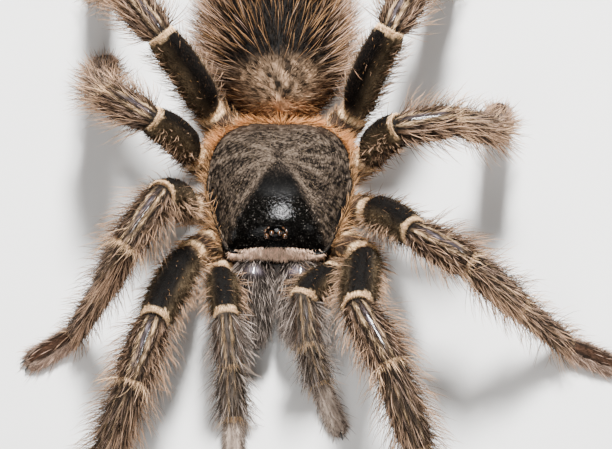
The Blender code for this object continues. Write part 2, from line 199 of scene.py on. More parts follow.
def catmull_rom(before: Array, start: Array, end: Array, after: Array, t: Array) -> Array:
    """The Catmull-Rom curve from start to end, a cubic that is smooth with its neighbours.

    Args:
        before: The point before the start.
        start: Where the curve is at t = 0.
        end: Where it is at t = 1.
        after: The point after the end.
        t: How far along it each result lies.

    Returns:
        Points of the curve.
    """
    return 0.5 * (
        2 * start
        + (end - before) * t
        + (2 * before - 5 * start + 4 * end - after) * t**2
        + (3 * start - before - 3 * end + after) * t**3
    )


def oval(middle: Array, across: Array, above: Array, wide: Array, high: Array, a: Array) -> Array:
    """An oval: middle + across * wide * cos(a) + above * high * sin(a).

    Args:
        middle: Its middle, for each point.
        across: The unit vector of its width.
        above: The unit vector of its height.
        wide: Half its width.
        high: Half its height.
        a: Which way round each point lies.

    Returns:
        The points.
    """
    return middle + across * (wide * np.cos(a))[..., None] + above * (high * np.sin(a))[..., None]


def round_chart(reach: Array, a: Array) -> Array:
    """Places on a colour map at a reach from its middle and at angles a."""
    return np.stack([0.5 + reach * np.cos(a), 0.5 + reach * np.sin(a)], axis=-1)


def ripple(points: Array, wavelength: float, seed: int) -> Array:
    """Smooth irregular values from -1 to 1: the sum of plane waves in random directions.

    Args:
        points: Places in millimetres, (..., 3).
        wavelength: The usual distance between two crests, in millimetres.
        seed: Which pattern.

    Returns:
        One value for each place.
    """
    rng = np.random.default_rng(seed)
    ways = unit(rng.normal(size=(9, 3))) * (TURN / wavelength) * rng.uniform(0.6, 1.5, (9, 1))
    phases = rng.uniform(0, TURN, 9)
    return np.clip(np.sin(points @ ways.T + phases).sum(axis=-1) / 3.2, -1, 1)


# ---------------------------------------------------------------- meshes from arrays


@dataclass
class Shape:
    """Arrays of one mesh: places in millimetres, triangles, and what its material reads."""

    places: Array
    triangles: Array
    uvs: Array  # (triangles, 3, 2)
    hue: Array
    gloss: Array

    def to_mesh(self, name: str) -> bpy.types.Mesh:
        """A mesh in metres with the OFBake map and the hue and gloss of every point."""
        mesh = bpy.data.meshes.new(name)
        count = len(self.triangles)
        mesh.vertices.add(len(self.places))
        mesh.vertices.foreach_set("co", (self.places * MM).astype(np.float32).ravel())
        mesh.loops.add(count * 3)
        mesh.loops.foreach_set("vertex_index", self.triangles.astype(np.int32).ravel())
        mesh.polygons.add(count)
        mesh.polygons.foreach_set("loop_start", np.arange(0, count * 3, 3, dtype=np.int32))
        mesh.polygons.foreach_set("use_smooth", np.ones(count, dtype=bool))
        hue = mesh.attributes.new("hue", "FLOAT_COLOR", "POINT")
        hue.data.foreach_set("color", np.insert(self.hue, 3, 1.0, axis=1).astype(np.float32).ravel())
        gloss = mesh.attributes.new("gloss", "FLOAT", "POINT")
        gloss.data.foreach_set("value", self.gloss.astype(np.float32))
        chart = mesh.uv_layers.new(name="OFBake")
        chart.uv.foreach_set("vector", self.uvs.astype(np.float32).ravel())
        mesh.update(calc_edges=True)
        mesh.validate(verbose=False)
        return mesh


def join(shapes: Iterable[Shape]) -> Shape:
    """Several shapes as one."""
    shapes = list(shapes)
    offsets = np.cumsum([0] + [len(shape.places) for shape in shapes[:-1]])
    return Shape(
        np.concatenate([shape.places for shape in shapes]),
        np.concatenate([shape.triangles + start for shape, start in zip(shapes, offsets)]),
        *(np.concatenate([getattr(shape, part) for shape in shapes]) for part in ("uvs", "hue", "gloss")),
    )


@dataclass(frozen=True)
class Chart:
    """The rectangle of the colour map that one surface unwraps into."""

    corner: tuple[float, float] = (0.0, 0.0)
    size: tuple[float, float] = (1.0, 1.0)
    margin: float = 0.012

    def place(self, u: Array, v: Array) -> Array:
        """Map coordinates of a place given as shares of the unwrap's width and height."""
        room = np.array(self.size) - 2 * self.margin
        start = np.array(self.corner) + self.margin
        return start + np.stack([u, v], axis=-1) * room

    @classmethod
    def grid(cls, count: int) -> list["Chart"]:
        """Equal charts side by side, enough for count surfaces."""
        side = math.ceil(math.sqrt(count))
        size = 1 / side
        return [cls(((i % side) * size, (i // side) * size), (size, size), 0.006) for i in range(count)]


# ---------------------------------------------------------------- surfaces


@dataclass
class Spots:
    """Places on a surface, with the surface's directions and colours there."""

    s: Array
    a: Array
    place: Array
    normal: Array
    lie: Array
    chart: Array


class Surface:
    """A closed shape that s runs along and a runs round.

    Its methods take an s and an a for every point asked about, in two arrays of one shape.
    """

    end: float = 1.0  # the largest s
    mirror: float = 1.0  # which way a runs

    def from_top(self, a: Array) -> Array:
        """Degrees from the middle of the upper side."""
        return np.degrees(np.arctan2(np.cos(a) * self.mirror, np.sin(a)))

    def points(self, s: Array, a: Array) -> Array:
        """Places of the surface."""
        raise NotImplementedError

    def markings(self, s: Array, a: Array) -> Array:
        """The colour of skin and coat."""
        raise NotImplementedError

    def bareness(self, s: Array, a: Array) -> Array:
        """From 0, hairy and dull, to 1, bare and shining."""
        return np.zeros(s.shape)

    def chart(self, s: Array, a: Array) -> Array:
        """Unwrap of the surface, as shares of its width and height."""
        return np.stack([(a / TURN) % 1.0, s / self.end], axis=-1)

    def outward(self, s: Array, a: Array) -> Array:
        """Roughly which way is out."""
        return self.points(s, a) - self.points(s, a + math.pi)

    def comb(self, s: Array, a: Array, place: Array, along: Array) -> Array:
        """Which way the coat lies, before it is laid flat on the surface."""
        return along

    def spots(self, s: Array, a: Array) -> Spots:
        """Everything a hair's root needs to know; directions come from small steps both ways."""
        place = self.points(s, a)
        before, after = np.maximum(s - SMALL_STEP, 0.0), np.minimum(s + SMALL_STEP, self.end)
        along = unit(self.points(after, a) - self.points(before, a))
        around = unit(self.points(s, a + SMALL_STEP) - self.points(s, a - SMALL_STEP))
        normal = unit(np.cross(around, along))
        side = np.sign(dot(normal, self.outward(s, a)))[..., None]
        normal = normal * np.where(side == 0, 1, side)
        lie = self.comb(s, a, place, along)
        lie = unit(lie - normal * dot(lie, normal)[..., None])
        return Spots(s, a, place, normal, lie, self.chart(s, a))

    def scatter(
        self, density: float, weight: Weight, rng: Random, rows: int, columns: int
    ) -> Spots:
        """Random places on the surface.

        Args:
            density: How many places a square millimetre has where the weight is 1.
            weight: How thickly they stand at arrays of s and a.
            rng: Where the random numbers come from.
            rows: How many cells along s each choice is made from.
            columns: How many cells round the surface.

        Returns:
            Places drawn evenly in cells, each picked as often as its area and weight ask.
        """
        s_edge, a_edge = np.linspace(0, self.end, rows + 1), np.linspace(0, TURN, columns + 1)
        corners = self.points(*np.meshgrid(s_edge, a_edge, indexing="ij"))
        down, over = corners[1:, :-1] - corners[:-1, :-1], corners[:-1, 1:] - corners[:-1, :-1]
        area = np.linalg.norm(np.cross(down, over), axis=-1)
        middles = ((edge[:-1] + edge[1:]) / 2 for edge in (s_edge, a_edge))
        asked = area * weight(*np.meshgrid(*middles, indexing="ij")) * density
        running = np.cumsum(asked.ravel())
        count = int(running[-1])
        if count == 0:
            return self.spots(np.zeros(0), np.zeros(0))
        picks = (np.arange(count) + rng.random(count)) / count * running[-1]
        cell = np.minimum(np.searchsorted(running, picks), rows * columns - 1)
        s = s_edge[cell // columns] + rng.random(count) * (s_edge[1] - s_edge[0])
        a = a_edge[cell % columns] + rng.random(count) * (a_edge[1] - a_edge[0])
        return self.spots(s, a)

    def shell(self, s: Array, around: int, chart: Chart) -> Shape:
        """The surface as a mesh with both ends closed.

        Args:
            s: Where its rings stand.
            around: How many points a ring has.
            chart: The part of the colour map it unwraps into.

        Returns:
            Rings of points joined by triangles, and a fan from a pole at each end.
        """
        rows = len(s)
        grid = [part.ravel() for part in np.meshgrid(s, np.arange(around) / around * TURN, indexing="ij")]
        ends = np.array((s[0], s[-1])), np.zeros(2)
        rings = self.points(*grid).reshape(rows, around, 3)
        places = np.concatenate([rings.reshape(-1, 3), rings[[0, -1]].mean(axis=1)])

        def corner(row: Array, column: Array) -> tuple[Array, Array]:
            """The number of a ring's point, and where it lies on the map."""
            height = CAP + (1 - 2 * CAP) * row / (rows - 1)
            return row * around + column % around, chart.place(column / around, height)

        i, j = (part.ravel() for part in np.meshgrid(np.arange(rows - 1), np.arange(around), indexing="ij"))
        near, far_next = corner(i, j), corner(i + 1, j + 1)
        faces = [(near, corner(i, j + 1), far_next), (near, far_next, corner(i + 1, j))]
        j = np.arange(around)
        for pole, row in enumerate((0, rows - 1)):
            level = np.full(around, row)
            top = np.full(around, rows * around + pole), chart.place((j + 0.5) / around, pole + 0.0 * j)
            edge = corner(level, j), corner(level, j + 1)
            faces.append((*(edge if pole else edge[::-1]), top))
        triangles, uvs = (
            np.concatenate([np.stack([point[part] for point in face], axis=1) for face in faces])
            for part in (0, 1)
        )
        sides = places[triangles] - places.mean(axis=0)
        if dot(sides[:, 0], np.cross(sides[:, 1], sides[:, 2])).sum() <= 0:  # inside out
            triangles, uvs = triangles[:, ::-1], uvs[:, ::-1]
        hue, gloss = (
            np.concatenate([look(*grid), look(*ends)]) for look in (self.markings, self.bareness)
        )
        return Shape(places, triangles, uvs, hue, gloss)


# ---------------------------------------------------------------- hairs


@dataclass(frozen=True)
class Layer:
    """One kind of hair.

    Args:
        density: How many to the square millimetre.
        length: Shortest and longest, in millimetres.
        lift: Least and greatest angle above the skin, in degrees.
        girth: Radius at the root, in millimetres.
        curl: How far a hair bends back along the skin, as a share of its length.
        stray: How far hairs fan out sideways from the lie of the coat, in degrees.
        levels: How many rings of points it has below its tip.
        tip: The colour of its tip.
        tip_share: How far the tip goes from the skin's marking towards that colour.
        root_shade: The brightness of its root against the skin's marking, where that is dark.
        uneven: How much brightness varies from hair to hair.
        wave: How far a tip is carried off at random, as a share of the length.
        fade: The power of the share along it by which a hair turns from root to tip colour.
    """

    density: float
    length: tuple[float, float]
    lift: tuple[float, float]
    girth: float
    curl: float
    stray: float
    levels: int
    tip: Hue
    tip_share: float
    root_shade: float
    uneven: float
    wave: float = 0.03
    fade: float = 0.8


def hair_template(levels: int) -> tuple[Array, Array]:
    """One hair's triangles, and where their corners lie on the hair's own patch."""
    faces = []
    for level in range(levels):
        y0, y1 = (0.1 + 0.9 * part / levels for part in (level, level + 1))
        for j in range(3):
            a, b = level * 3 + j, level * 3 + (j + 1) % 3
            x0, x1 = j / 3, (j + 1) / 3
            if level == levels - 1:
                faces.append(((a, x0, y0), (b, x1, y0), (levels * 3, (x0 + x1) / 2, y1)))
            else:
                faces.append(((a, x0, y0), (b, x1, y0), (b + 3, x1, y1)))
                faces.append(((a, x0, y0), (b + 3, x1, y1), (a + 3, x0, y1)))
    faces.append(((2, 0.0, 0.1), (1, 1.0, 0.1), (0, 0.5, 0.0)))
    table = np.array(faces)
    return table[..., 0].astype(int), table[..., 1:]


def hairs(spots: Spots, layer: Layer, marking: Array, rng: Random, stretch: Array | float = 1.0) -> Shape:
    """Hairs of a layer, as closed three-sided tubes that bend back towards the coat's lie.

    The middle line of a hair is root + length * (way * u + sweep * u * u), with u from 0
    at the root to 1 at the tip, and its radius falls as 1 - TAPER * u * u.

    Args:
        spots: Where they stand.
        layer: What they are like.
        marking: The skin's colour at each spot.
        rng: Where the random numbers come from.
        stretch: How much longer each is than the layer says.

    Returns:
        One hair for each spot.
    """
    count, levels = len(spots.s), layer.levels
    stray = np.radians(rng.normal(0, layer.stray, count))[:, None]
    lie = spots.lie * np.cos(stray) + np.cross(spots.normal, spots.lie) * np.sin(stray)
    lift = np.radians(rng.uniform(*layer.lift, count))[:, None]
    way = lie * np.cos(lift) + spots.normal * np.sin(lift)
    sweep = (lie - way) * layer.curl * rng.uniform(0.5, 1.3, (count, 1))
    sweep += unit(rng.normal(size=(count, 3))) * layer.wave - UP * DROOP
    length = (rng.uniform(*layer.length, count) * stretch)[:, None]
    shade = np.clip(np.exp(rng.normal(-0.08, layer.uneven, (count, 1))), DARKEST, BRIGHTEST)
    tip_share = np.clip(layer.tip_share * rng.uniform(0.5, 1.5, count), 0, 1)
    girth = layer.girth * rng.uniform(0.75, 1.25, (count, 1, 1))

    root = spots.place - spots.normal * ROOT_DEPTH
    u = (np.arange(levels) / levels)[:, None]
    middle = root[:, None] + length[:, None] * (way[:, None] * u + sweep[:, None] * (u * u))
    across = unit(np.cross(way, UP + 0.01))
    angle = (np.arange(3) / 3 * TURN)[:, None]
    ring = across[:, None, None] * np.cos(angle) + np.cross(across, way)[:, None, None] * np.sin(angle)
    tubes = middle[:, :, None] + ring * (girth * (1 - TAPER * u * u))[..., None]
    tips = root + length * (way + sweep)
    places = np.concatenate([tubes.reshape(count, -1, 3), tips[:, None]], axis=1)
    places[..., 2] = np.maximum(places[..., 2], FLOOR_CLEARANCE)

    pale = np.clip(marking.mean(axis=1, keepdims=True) * 1.3, 0, 1)
    root_hue = capped(marking * (layer.root_shade + (1 - layer.root_shade) * pale) * shade)
    tip_hue = capped(painted(marking, (layer.tip, tip_share)) * shade)
    share = np.append(np.repeat(u, 3), 1.0) ** layer.fade
    hue = painted(root_hue[:, None], (tip_hue[:, None], share))
    triangles, corners = hair_template(levels)
    starts = np.arange(count)[:, None, None] * places.shape[1]
    patches = Chart().place(*spots.chart.T)[:, None, None]
    return Shape(
        places.reshape(-1, 3),
        (triangles + starts).reshape(-1, 3),
        (patches + (corners - 0.5) * PATCH).reshape(-1, 3, 2),
        hue.reshape(-1, 3),
        np.zeros(places[..., 0].size),
    )


# ---------------------------------------------------------------- reading the frame


def node_places(name: str) -> Array:
    """The distinct corners of a CAD node, in millimetres."""
    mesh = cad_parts[name].data
    places = np.empty(len(mesh.vertices) * 3)
    mesh.vertices.foreach_get("co", places)
    return np.unique((places.reshape(-1, 3) / MM).round(3), axis=0)


def end_ring(places: Array, other: Array, nearest: bool = True) -> Array:
    """The middle of the ring of corners at one end of a node.

    Args:
        places: The node's corners.
        other: A neighbour's corners.
        nearest: Whether the end meant is the one towards the neighbour.

    Returns:
        The mean of the corners that lie nearest to the neighbour, or furthest from it.
    """
    gaps = np.linalg.norm(places[:, None] - other[None], axis=-1).min(axis=1)
    order = np.argsort(gaps if nearest else -gaps)
    return places[order[:RING_CORNERS]].mean(axis=0)


def prosoma_middle() -> Array:
    """The point on the floor under the middle of the prosoma, found from the carapace."""
    low, high = (np.array(corner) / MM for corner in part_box("carapace"))
    return np.array(((low[0] + high[0]) / 2, low[1] - FRONT_EDGE, 0.0))


BODY = prosoma_middle()


# ---------------------------------------------------------------- limbs


class Segment(Enum):
    """The parts of a leg in order, with their girth and how it swells along them.

    The values are half-width and half-height of the skin, then (share along, share of girth).
    """

    HIP = (2.15, 2.25, ((0.0, 0.62), (0.55, 0.98), (1.0, 0.92)))
    FEMUR = (2.1, 2.3, ((0.0, 0.70), (0.26, 1.0), (0.62, 1.0), (1.0, 0.92)))
    PATELLA = (2.1, 2.0, ((0.0, 0.84), (0.3, 1.0), (0.75, 1.0), (1.0, 0.88)))
    TIBIA = (1.85, 1.8, ((0.0, 0.84), (0.3, 1.02), (0.75, 0.98), (1.0, 0.86)))
    METATARSUS = (1.45, 1.4, ((0.0, 0.98), (0.4, 1.0), (1.0, 0.88)))
    TARSUS = (1.45, 1.1, ((0.0, 0.88), (0.3, 1.0), (0.6, 1.0), (0.85, 0.95), (0.95, 0.72), (1.0, 0.38)))

    @property
    def node_suffix(self) -> str:
        """How the CAD names it."""
        return self.name.lower()


LEG = tuple(Segment)
PALP = tuple(part for part in Segment if part is not Segment.METATARSUS)
GIRTH = {"leg_1": 1.0, "leg_2": 0.96, "leg_3": 0.95, "leg_4": 1.0, "palp": 0.8}
HIP_ROOTS = {
    "palp": (3.4, -5.4, 5.6),
    "leg_1": (3.8, -3.4, 5.9),
    "leg_2": (4.2, -0.6, 5.9),
    "leg_3": (4.0, 2.6, 5.9),
    "leg_4": (3.0, 5.6, 5.9),
}
FEMUR_BOW = 0.7
FEMUR_CUFF = 0.66  # how wide the pale rim of a femur is
CUFF_LOBES = 0.25
JOINT_DIP = 0.10  # how much a segment narrows right at a joint
JOINT_DIP_REACH = 0.55
CLAW_CURVE = ((-0.7, 0.15), (-0.2, 0.4), (0.3, 0.4), (0.65, 0.05), (0.75, -0.35))
CLAW_SIZE = ((0.14, 0.16), (0.14, 0.16), (0.12, 0.14), (0.08, 0.09), (0.03, 0.03))
CLAW_LOWEST = 0.2


@dataclass
class Limb(Surface):
    """A leg or palp, as one skin from the hip's root to the tarsus's tip.

    s counts segments: 1.5 is the middle of the second one. a is 0 on the side along which
    the first of a segment's axes points and a quarter turn on the upper side. The painters
    take t, how far along its segment a point lies, phi, its degrees from the top, and the
    segment's length.
    """

    kind: str
    side: str
    plate: "Carapace"  # which the hip stays under

    def __post_init__(self) -> None:
        """Reads the limb's joints from the frame."""
        self.mirror, self.is_palp = MIRRORS[self.side], self.kind == "palp"
        self.segments = PALP if self.is_palp else LEG
        self.end = float(len(self.segments))
        self.nodes = [f"{self.kind}_{self.side}_{part.node_suffix}" for part in self.segments[1:]]
        self.joints = self.find_joints()
        self.set_axes()

    def find_joints(self) -> Array:
        """Joints from the hip's root to the tip, each from the rings of points that meet there."""
        places = [node_places("prosoma_underside"), *(node_places(node) for node in self.nodes)]
        root = BODY + np.array(HIP_ROOTS[self.kind]) * (self.mirror, 1, 1)
        meeting = [(end_ring(one, two) + end_ring(two, one)) / 2 for one, two in zip(places, places[1:])]
        return np.array([root, *meeting, end_ring(places[-1], places[-2], nearest=False)])

    def set_axes(self) -> None:
        """Each segment's own axes, and the planes that part it from its neighbours.

        `first` and `last` hold a plane's slope across and upwards: along it a point's place
        on the segment's axis grows by -(across slope * x + up slope * z).
        """
        steps = np.diff(self.joints, axis=0)
        self.lengths = np.linalg.norm(steps, axis=1)
        along = unit(steps)
        across = unit(np.cross(along, UP))
        self.axes = np.stack([across, along, np.cross(across, along)], axis=1)
        planes = np.concatenate([along[:1], unit(along[:-1] + along[1:]), along[-1:]])
        seen = (np.einsum("nij,nj->ni", self.axes, own) for own in (planes[:-1], planes[1:]))
        self.first, self.last = (own[:, (0, 2)] / own[:, 1:2] for own in seen)

    def part(self, s: Array) -> tuple[Array, Array]:
        """Which segment each s lies in, and how far along it."""
        index = np.clip(np.floor(s).astype(int), 0, len(self.segments) - 1)
        return index, s - index

    def girths(self, index: Array, t: Array) -> tuple[Array, Array]:
        """Half-width and half-height of the skin, with a waist at each joint."""
        wide, high = np.zeros_like(t), np.zeros_like(t)
        for number, segment in enumerate(self.segments):
            own_wide, own_high, stations = segment.value
            here = index == number
            swell = eased_table(stations, t[here])
            wide[here], high[here] = own_wide * swell, own_high * swell
        run, left = t * self.lengths[index], (1 - t) * self.lengths[index]
        inner = index < len(self.segments) - 1
        waist = hump(run, 0, JOINT_DIP_REACH) * (index > 0) + hump(left, 0, JOINT_DIP_REACH) * inner
        shrink = GIRTH[self.kind] * (1 - JOINT_DIP * waist)
        return wide * shrink, high * shrink

    def points(self, s: Array, a: Array) -> Array:
        """Ovals round each segment's axis, sheared so that neighbours share a plane."""
        index, t = self.part(s)
        wide, high = self.girths(index, t)
        x, z = wide * np.cos(a), high * np.sin(a)
        near = -(self.first[index, 0] * x + self.first[index, 1] * z)
        far = self.lengths[index] - (self.last[index, 0] * x + self.last[index, 1] * z)
        y = near + (far - near) * t
        z = z + FEMUR_BOW * 4 * t * (1 - t) * (index == 1)
        local = np.stack([x, y, z], axis=-1)
        place = self.joints[index] + np.einsum("...i,...ij->...j", local, self.axes[index])
        roof = np.where(index == 0, self.plate.room_under(place), np.inf)
        place[..., 2] = np.clip(place[..., 2], SOLE, roof)
        return place

    def from_top(self, a: Array) -> Array:
        """Positive on the rear side of the limb."""
        return -super().from_top(a)

    def markings(self, s: Array, a: Array) -> Array:
        """Each segment's own paint, greyer on palps, with streaks along it where it is dark."""
        index, t = self.part(s)
        place = self.points(s, a)
        phi = self.from_top(a) + 1.8 * ripple(place, 2.4, 7)
        colour = np.zeros((*s.shape, 3))
        for number, segment in enumerate(self.segments):
            here = index == number
            painter = getattr(self, f"paint_{segment.node_suffix}")
            colour[here] = painter(t[here], phi[here], self.lengths[number])
        run = (index + t) * 9
        streaks = np.stack([phi * 0.045, run * 0.09, index * 3.0], axis=-1)
        patchy = 0.9 + 0.2 * ripple(place, 1.6, 5) + 0.5 * ripple(streaks, 0.42, 6)
        grey = 0.62 * (index >= 2) if self.is_palp else 0.16 * (abs(index - 3.5) < 1)
        colour = np.maximum(colour, painted(colour, (Hue.GREY, grey)))
        steady = np.clip(colour.mean(axis=-1) * 2.2, 0, 0.75)
        return colour * (patchy + (1 - patchy) * steady)[..., None]

    def rim(self, t: Array, phi: Array, length: float, width: float, lobes: float = 0.0) -> Array:
        """How pale a segment's far edge is: a band whose inner edge has lobes and a fine ripple.

        Args:
            t: How far along the segment.
            phi: Degrees from the top.
            length: The segment's length.
            width: How wide the band is.
            lobes: How much of that its four lobes change.

        Returns:
            From 0 on the ground colour to 1 on the band.
        """
        edge = width * (1 - lobes * np.cos(np.radians(phi) * 4) + 0.16 * np.sin(np.radians(phi) * 17))
        return ease((1 - t) * length / edge, 1.12, 0.82)

    def narrow_rim(self, t: Array, phi: Array, length: float, width: float = 0.34) -> Array:
        """The rim of a segment past the femur, which its underside lacks."""
        return self.rim(t, phi, length, width) * ease(np.abs(phi), 110, 80)

    def cuff(self, t: Array, phi: Array, length: float, width: float, lobes: float) -> Array:
        """The rim as its thick hair covers it, a little further round."""
        return self.rim(t, phi, length, width, lobes) * ease(np.abs(phi), 122, 96)

    def stripes(self, phi: Array, apart: Array | float, width: float) -> Array:
        """Two pale lines along the top, each a set number of degrees from its middle."""
        width = width * (1.4 if self.is_palp else 1.0)
        return np.maximum(hump(phi, -apart, width), hump(phi, apart, width))

    def bald(self, t: Array, phi: Array) -> Array:
        """The bare shining strip along a patella, just behind its front stripe."""
        return hump(phi, 3 + 3 * t, 4.5) * ease(t, 0.12, 0.24) * ease(t, 0.84, 0.7)

    def bareness(self, s: Array, a: Array) -> Array:
        """Only the patella's strip is bare."""
        index, t = self.part(s)
        return self.bald(t, self.from_top(a)) * (index == 2)

    def paint_hip(self, t: Array, phi: Array, length: float) -> Array:
        """Brown, with pale arcs and a peach root."""
        side = np.abs(phi)
        arcs = np.maximum(hump(t, 0.66, 0.045), ease(t, 0.90, 0.95)) * ease(side, 120, 80)
        return painted(
            Hue.EARTH,
            (Hue.TAUPE, ease(side, 20, 90)),
            (Hue.PEACH, ease(t, 0.62, 0.35) * ease(side, 100, 60) * 0.75),
            (Hue.CREAM, arcs * 0.9),
        )

    def paint_femur(self, t: Array, phi: Array, length: float) -> Array:
        """Black velvet with a broad cream cuff."""
        side = np.abs(phi)
        return painted(
            Hue.VELVET.linear * 1.3,
            (Hue.OLIVE, ease(side, 22, 88) * 0.72),
            (Hue.EARTH, ease(side, 110, 150)),
            (Hue.TAUPE, ease(t, 0.12, 0.0) * 0.6),
            (Hue.CREAM, self.cuff(t, phi, length, FEMUR_CUFF, CUFF_LOBES)),
        )

    def paint_patella(self, t: Array, phi: Array, length: float) -> Array:
        """Two cream lines with the bare strip between them, a painted highlight along that strip, and two
        faint ones.
        """
        side, inside = np.abs(phi), ease(t, 0.03, 0.14) * ease(t, 1.0, 0.8)
        return painted(
            Hue.SOOT,
            (Hue.EARTH, ease(side, 50, 120) * 0.8),
            (Hue.TAUPE, ease(side, 95, 140) * 0.4),
            (Hue.TAN, self.stripes(phi, 50, 5.0) * inside * 0.4),
            (Hue.BARE, self.bald(t, phi)),
            # painted highlight down the middle of the bare strip
            (Hue.SHEEN, hump(phi, 3 + 3 * t, 2.4) * hump(t, 0.45, 0.2) * 0.6),
            (Hue.CREAM, self.stripes(phi, 18 - 4 * t, 2.9) * inside),
            (Hue.CREAM, self.narrow_rim(t, phi, length)),
        )

    def paint_tibia(self, t: Array, phi: Array, length: float) -> Array:
        """Paler lines than the patella's."""
        side, inside = np.abs(phi), ease(t, 0.06, 0.2) * ease(t, 1.0, 0.75)
        lines = self.stripes(phi, 17.0, 2.6) + 0.5 * self.stripes(phi, 46.0, 3.4)
        return painted(
            Hue.SOOT,
            (Hue.EARTH, ease(side, 45, 110) * 0.7),
            (Hue.TAUPE, ease(side, 90, 140) * 0.4),
            (Hue.CREAM, lines * inside * 0.55),
            (Hue.CREAM, self.narrow_rim(t, phi, length, 0.38)),
        )

    def paint_metatarsus(self, t: Array, phi: Array, length: float) -> Array:
        """Lines that fade out half way."""
        line = self.stripes(phi, 18.0, 3.4) * ease(t, 0.05, 0.15) * ease(t, 0.9, 0.5)
        return painted(
            Hue.SOOT,
            (Hue.TAUPE, ease(np.abs(phi), 45, 120) * 0.5),
            (Hue.TAN, line * 0.45),
            (Hue.CREAM, self.narrow_rim(t, phi, length) * 0.9),
        )

    def paint_tarsus(self, t: Array, phi: Array, length: float) -> Array:
        """A dark oval on a pale brush, and much less of both on a palp."""
        side, wide = np.abs(phi), 24 if self.is_palp else 46
        spot = ease(side + 0.5 * wide * ease(t, 0.6, 1.0), wide + 8, wide - 8) * ease(t, 1.0, 0.9)
        brown = painted(Hue.EARTH, (Hue.RUST, 0.06)) * 0.9
        dark = painted(brown, (Hue.SOOT.linear * 0.7, ease(side, 6, 38) * 0.8))
        brush = painted(Hue.GREY, (Hue.PINK, 0.08 if self.is_palp else 0.35))
        bright, share = (1.4, 0.4) if self.is_palp else (0.65, 1.0)
        return painted(brush * bright, (dark, spot * share))

    def claws(self) -> list["Tube"]:
        """The hooks at the tip of the foot: a pair on a leg, and a single one on a palp."""
        across, along, above = self.axes[-1]
        tip = self.joints[-1] - BODY
        made = []
        for side in (0.0,) if self.is_palp else (-1.0, 1.0):
            path = np.array(
                [
                    tip + across * side * (0.3 + 0.12 * step) + along * ahead + above * rise
                    for step, (ahead, rise) in enumerate(CLAW_CURVE)
                ]
            )
            path[:, 2] = np.maximum(path[:, 2], CLAW_LOWEST)
            made.append(Tube(path, CLAW_SIZE, 1.0, Hue.VELVET))
        return made


# ---------------------------------------------------------------- the trunk


@dataclass
class Abdomen(Surface):
    """An oval bag behind the waist, turned a little to the right.

    A ring's middle lies on a line that arches by `arch` and falls by `fall`; its half-sizes
    are `wide` and `high` times the swell there.
    """

    start: Point = (-0.15, 12.2, 7.7)
    length: float = 27.5
    turn_degrees: float = 4.5
    wide: float = 9.1
    high: float = 6.8
    arch: float = 1.8
    fall: float = 0.8
    swell: Pairs = (
        (0.0, 0.22), (0.03, 0.45), (0.1, 0.68), (0.22, 0.87), (0.4, 0.98),
        (0.58, 1.0), (0.76, 0.92), (0.9, 0.70), (0.975, 0.42), (1.0, 0.2),
    )  # fmt: skip

    @property
    def back(self) -> Array:
        """The way its length runs."""
        turn = math.radians(self.turn_degrees)
        return np.array((-math.sin(turn), math.cos(turn), 0.0))

    def points(self, s: Array, a: Array) -> Array:
        """Upright ovals along the arched line."""
        back = self.back
        swell = smoothed_table(self.swell, s, 0.02 * (1 - (2 * s - 1) ** 4))
        lift = self.arch * 4 * s * (1 - s) - self.fall * s
        middle = BODY + np.array(self.start) + back * (self.length * (0.02 + 0.96 * s))[..., None]
        middle = middle + UP * lift[..., None]
        across = np.array((back[1], -back[0], 0.0))
        return oval(middle, across, UP, self.wide * swell, self.high * swell, a)

    def from_top(self, a: Array) -> Array:
        """The same on both sides."""
        return np.abs(super().from_top(a))

    def markings(self, s: Array, a: Array) -> Array:
        """Black, browner below, with a mottled golden patch in front and an orange waist."""
        place, phi = self.points(s, a), self.from_top(a)
        mottled = 0.58 + 0.55 * ripple(place, 1.3, 11)
        patch = ease(s, 0.25, 0.12) * ease(phi, 75, 35) * mottled
        waist = ease(s, 0.05, 0.015) + 0.35 * ease(s, 0.2, 0.08) * hump(phi, 70, 25)
        colour = painted(
            Hue.VELVET.linear * 1.6,
            (Hue.EARTH, ease(phi, 70, 130) * 0.8),
            (painted(Hue.OLIVE, (Hue.TAN, 0.42)), np.clip(patch, 0, 1)),
            (Hue.ORANGE, waist * 0.3),
        )
        return colour * (1 + 0.45 * ripple(place, 0.7, 12))[..., None]

    def comb(self, s: Array, a: Array, place: Array, along: Array) -> Array:
        """Back, and away from a hub near the waist."""
        hub = BODY + np.array(self.start) + self.back * 1.5
        return self.back * 0.2 + unit((place - hub) * (1.35, 1, 0.25))


@dataclass
class Tube(Surface):
    """A round limb along a path of points, with a half-width and half-height at each.

    The path and the sizes follow Catmull-Rom curves. Its far end is rounded off.
    """

    path: Sequence[Point] | Array
    sizes: Pairs
    mirror: float = 1.0
    hue: Hue = Hue.EARTH
    shrink: float = 0.0  # the coat's depth

    def curve(self, table: Array, s: Array) -> Array:
        """Values of a table of rows at shares along it."""
        padded = np.concatenate([table[:1], table, table[-1:]])
        place = np.clip(s, 0, 1) * (len(table) - 1)
        index = np.minimum(place.astype(int), len(table) - 2)
        return catmull_rom(*(padded[index + k] for k in range(4)), (place - index)[..., None])

    def points(self, s: Array, a: Array) -> Array:
        """Ovals square to the path."""
        path = np.array(self.path) * (self.mirror, 1, 1) + BODY
        along = unit(self.curve(path, s + 0.01) - self.curve(path, s - 0.01))
        across = unit(np.cross(along, UP))
        size = self.curve(np.array(self.sizes), s) - self.shrink
        rounding = np.sqrt(np.clip(1 - (ease(s, 0.94, 1.0)) ** 2, 0.04, 1))
        wide, high = size[..., 0] * rounding, size[..., 1] * rounding
        return oval(self.curve(path, s), across, np.cross(across, along), wide, high, a)

    def markings(self, s: Array, a: Array) -> Array:
        """One colour, slightly uneven."""
        return self.hue.linear * (1 + 0.2 * ripple(self.points(s, a), 0.8, 21))[..., None]


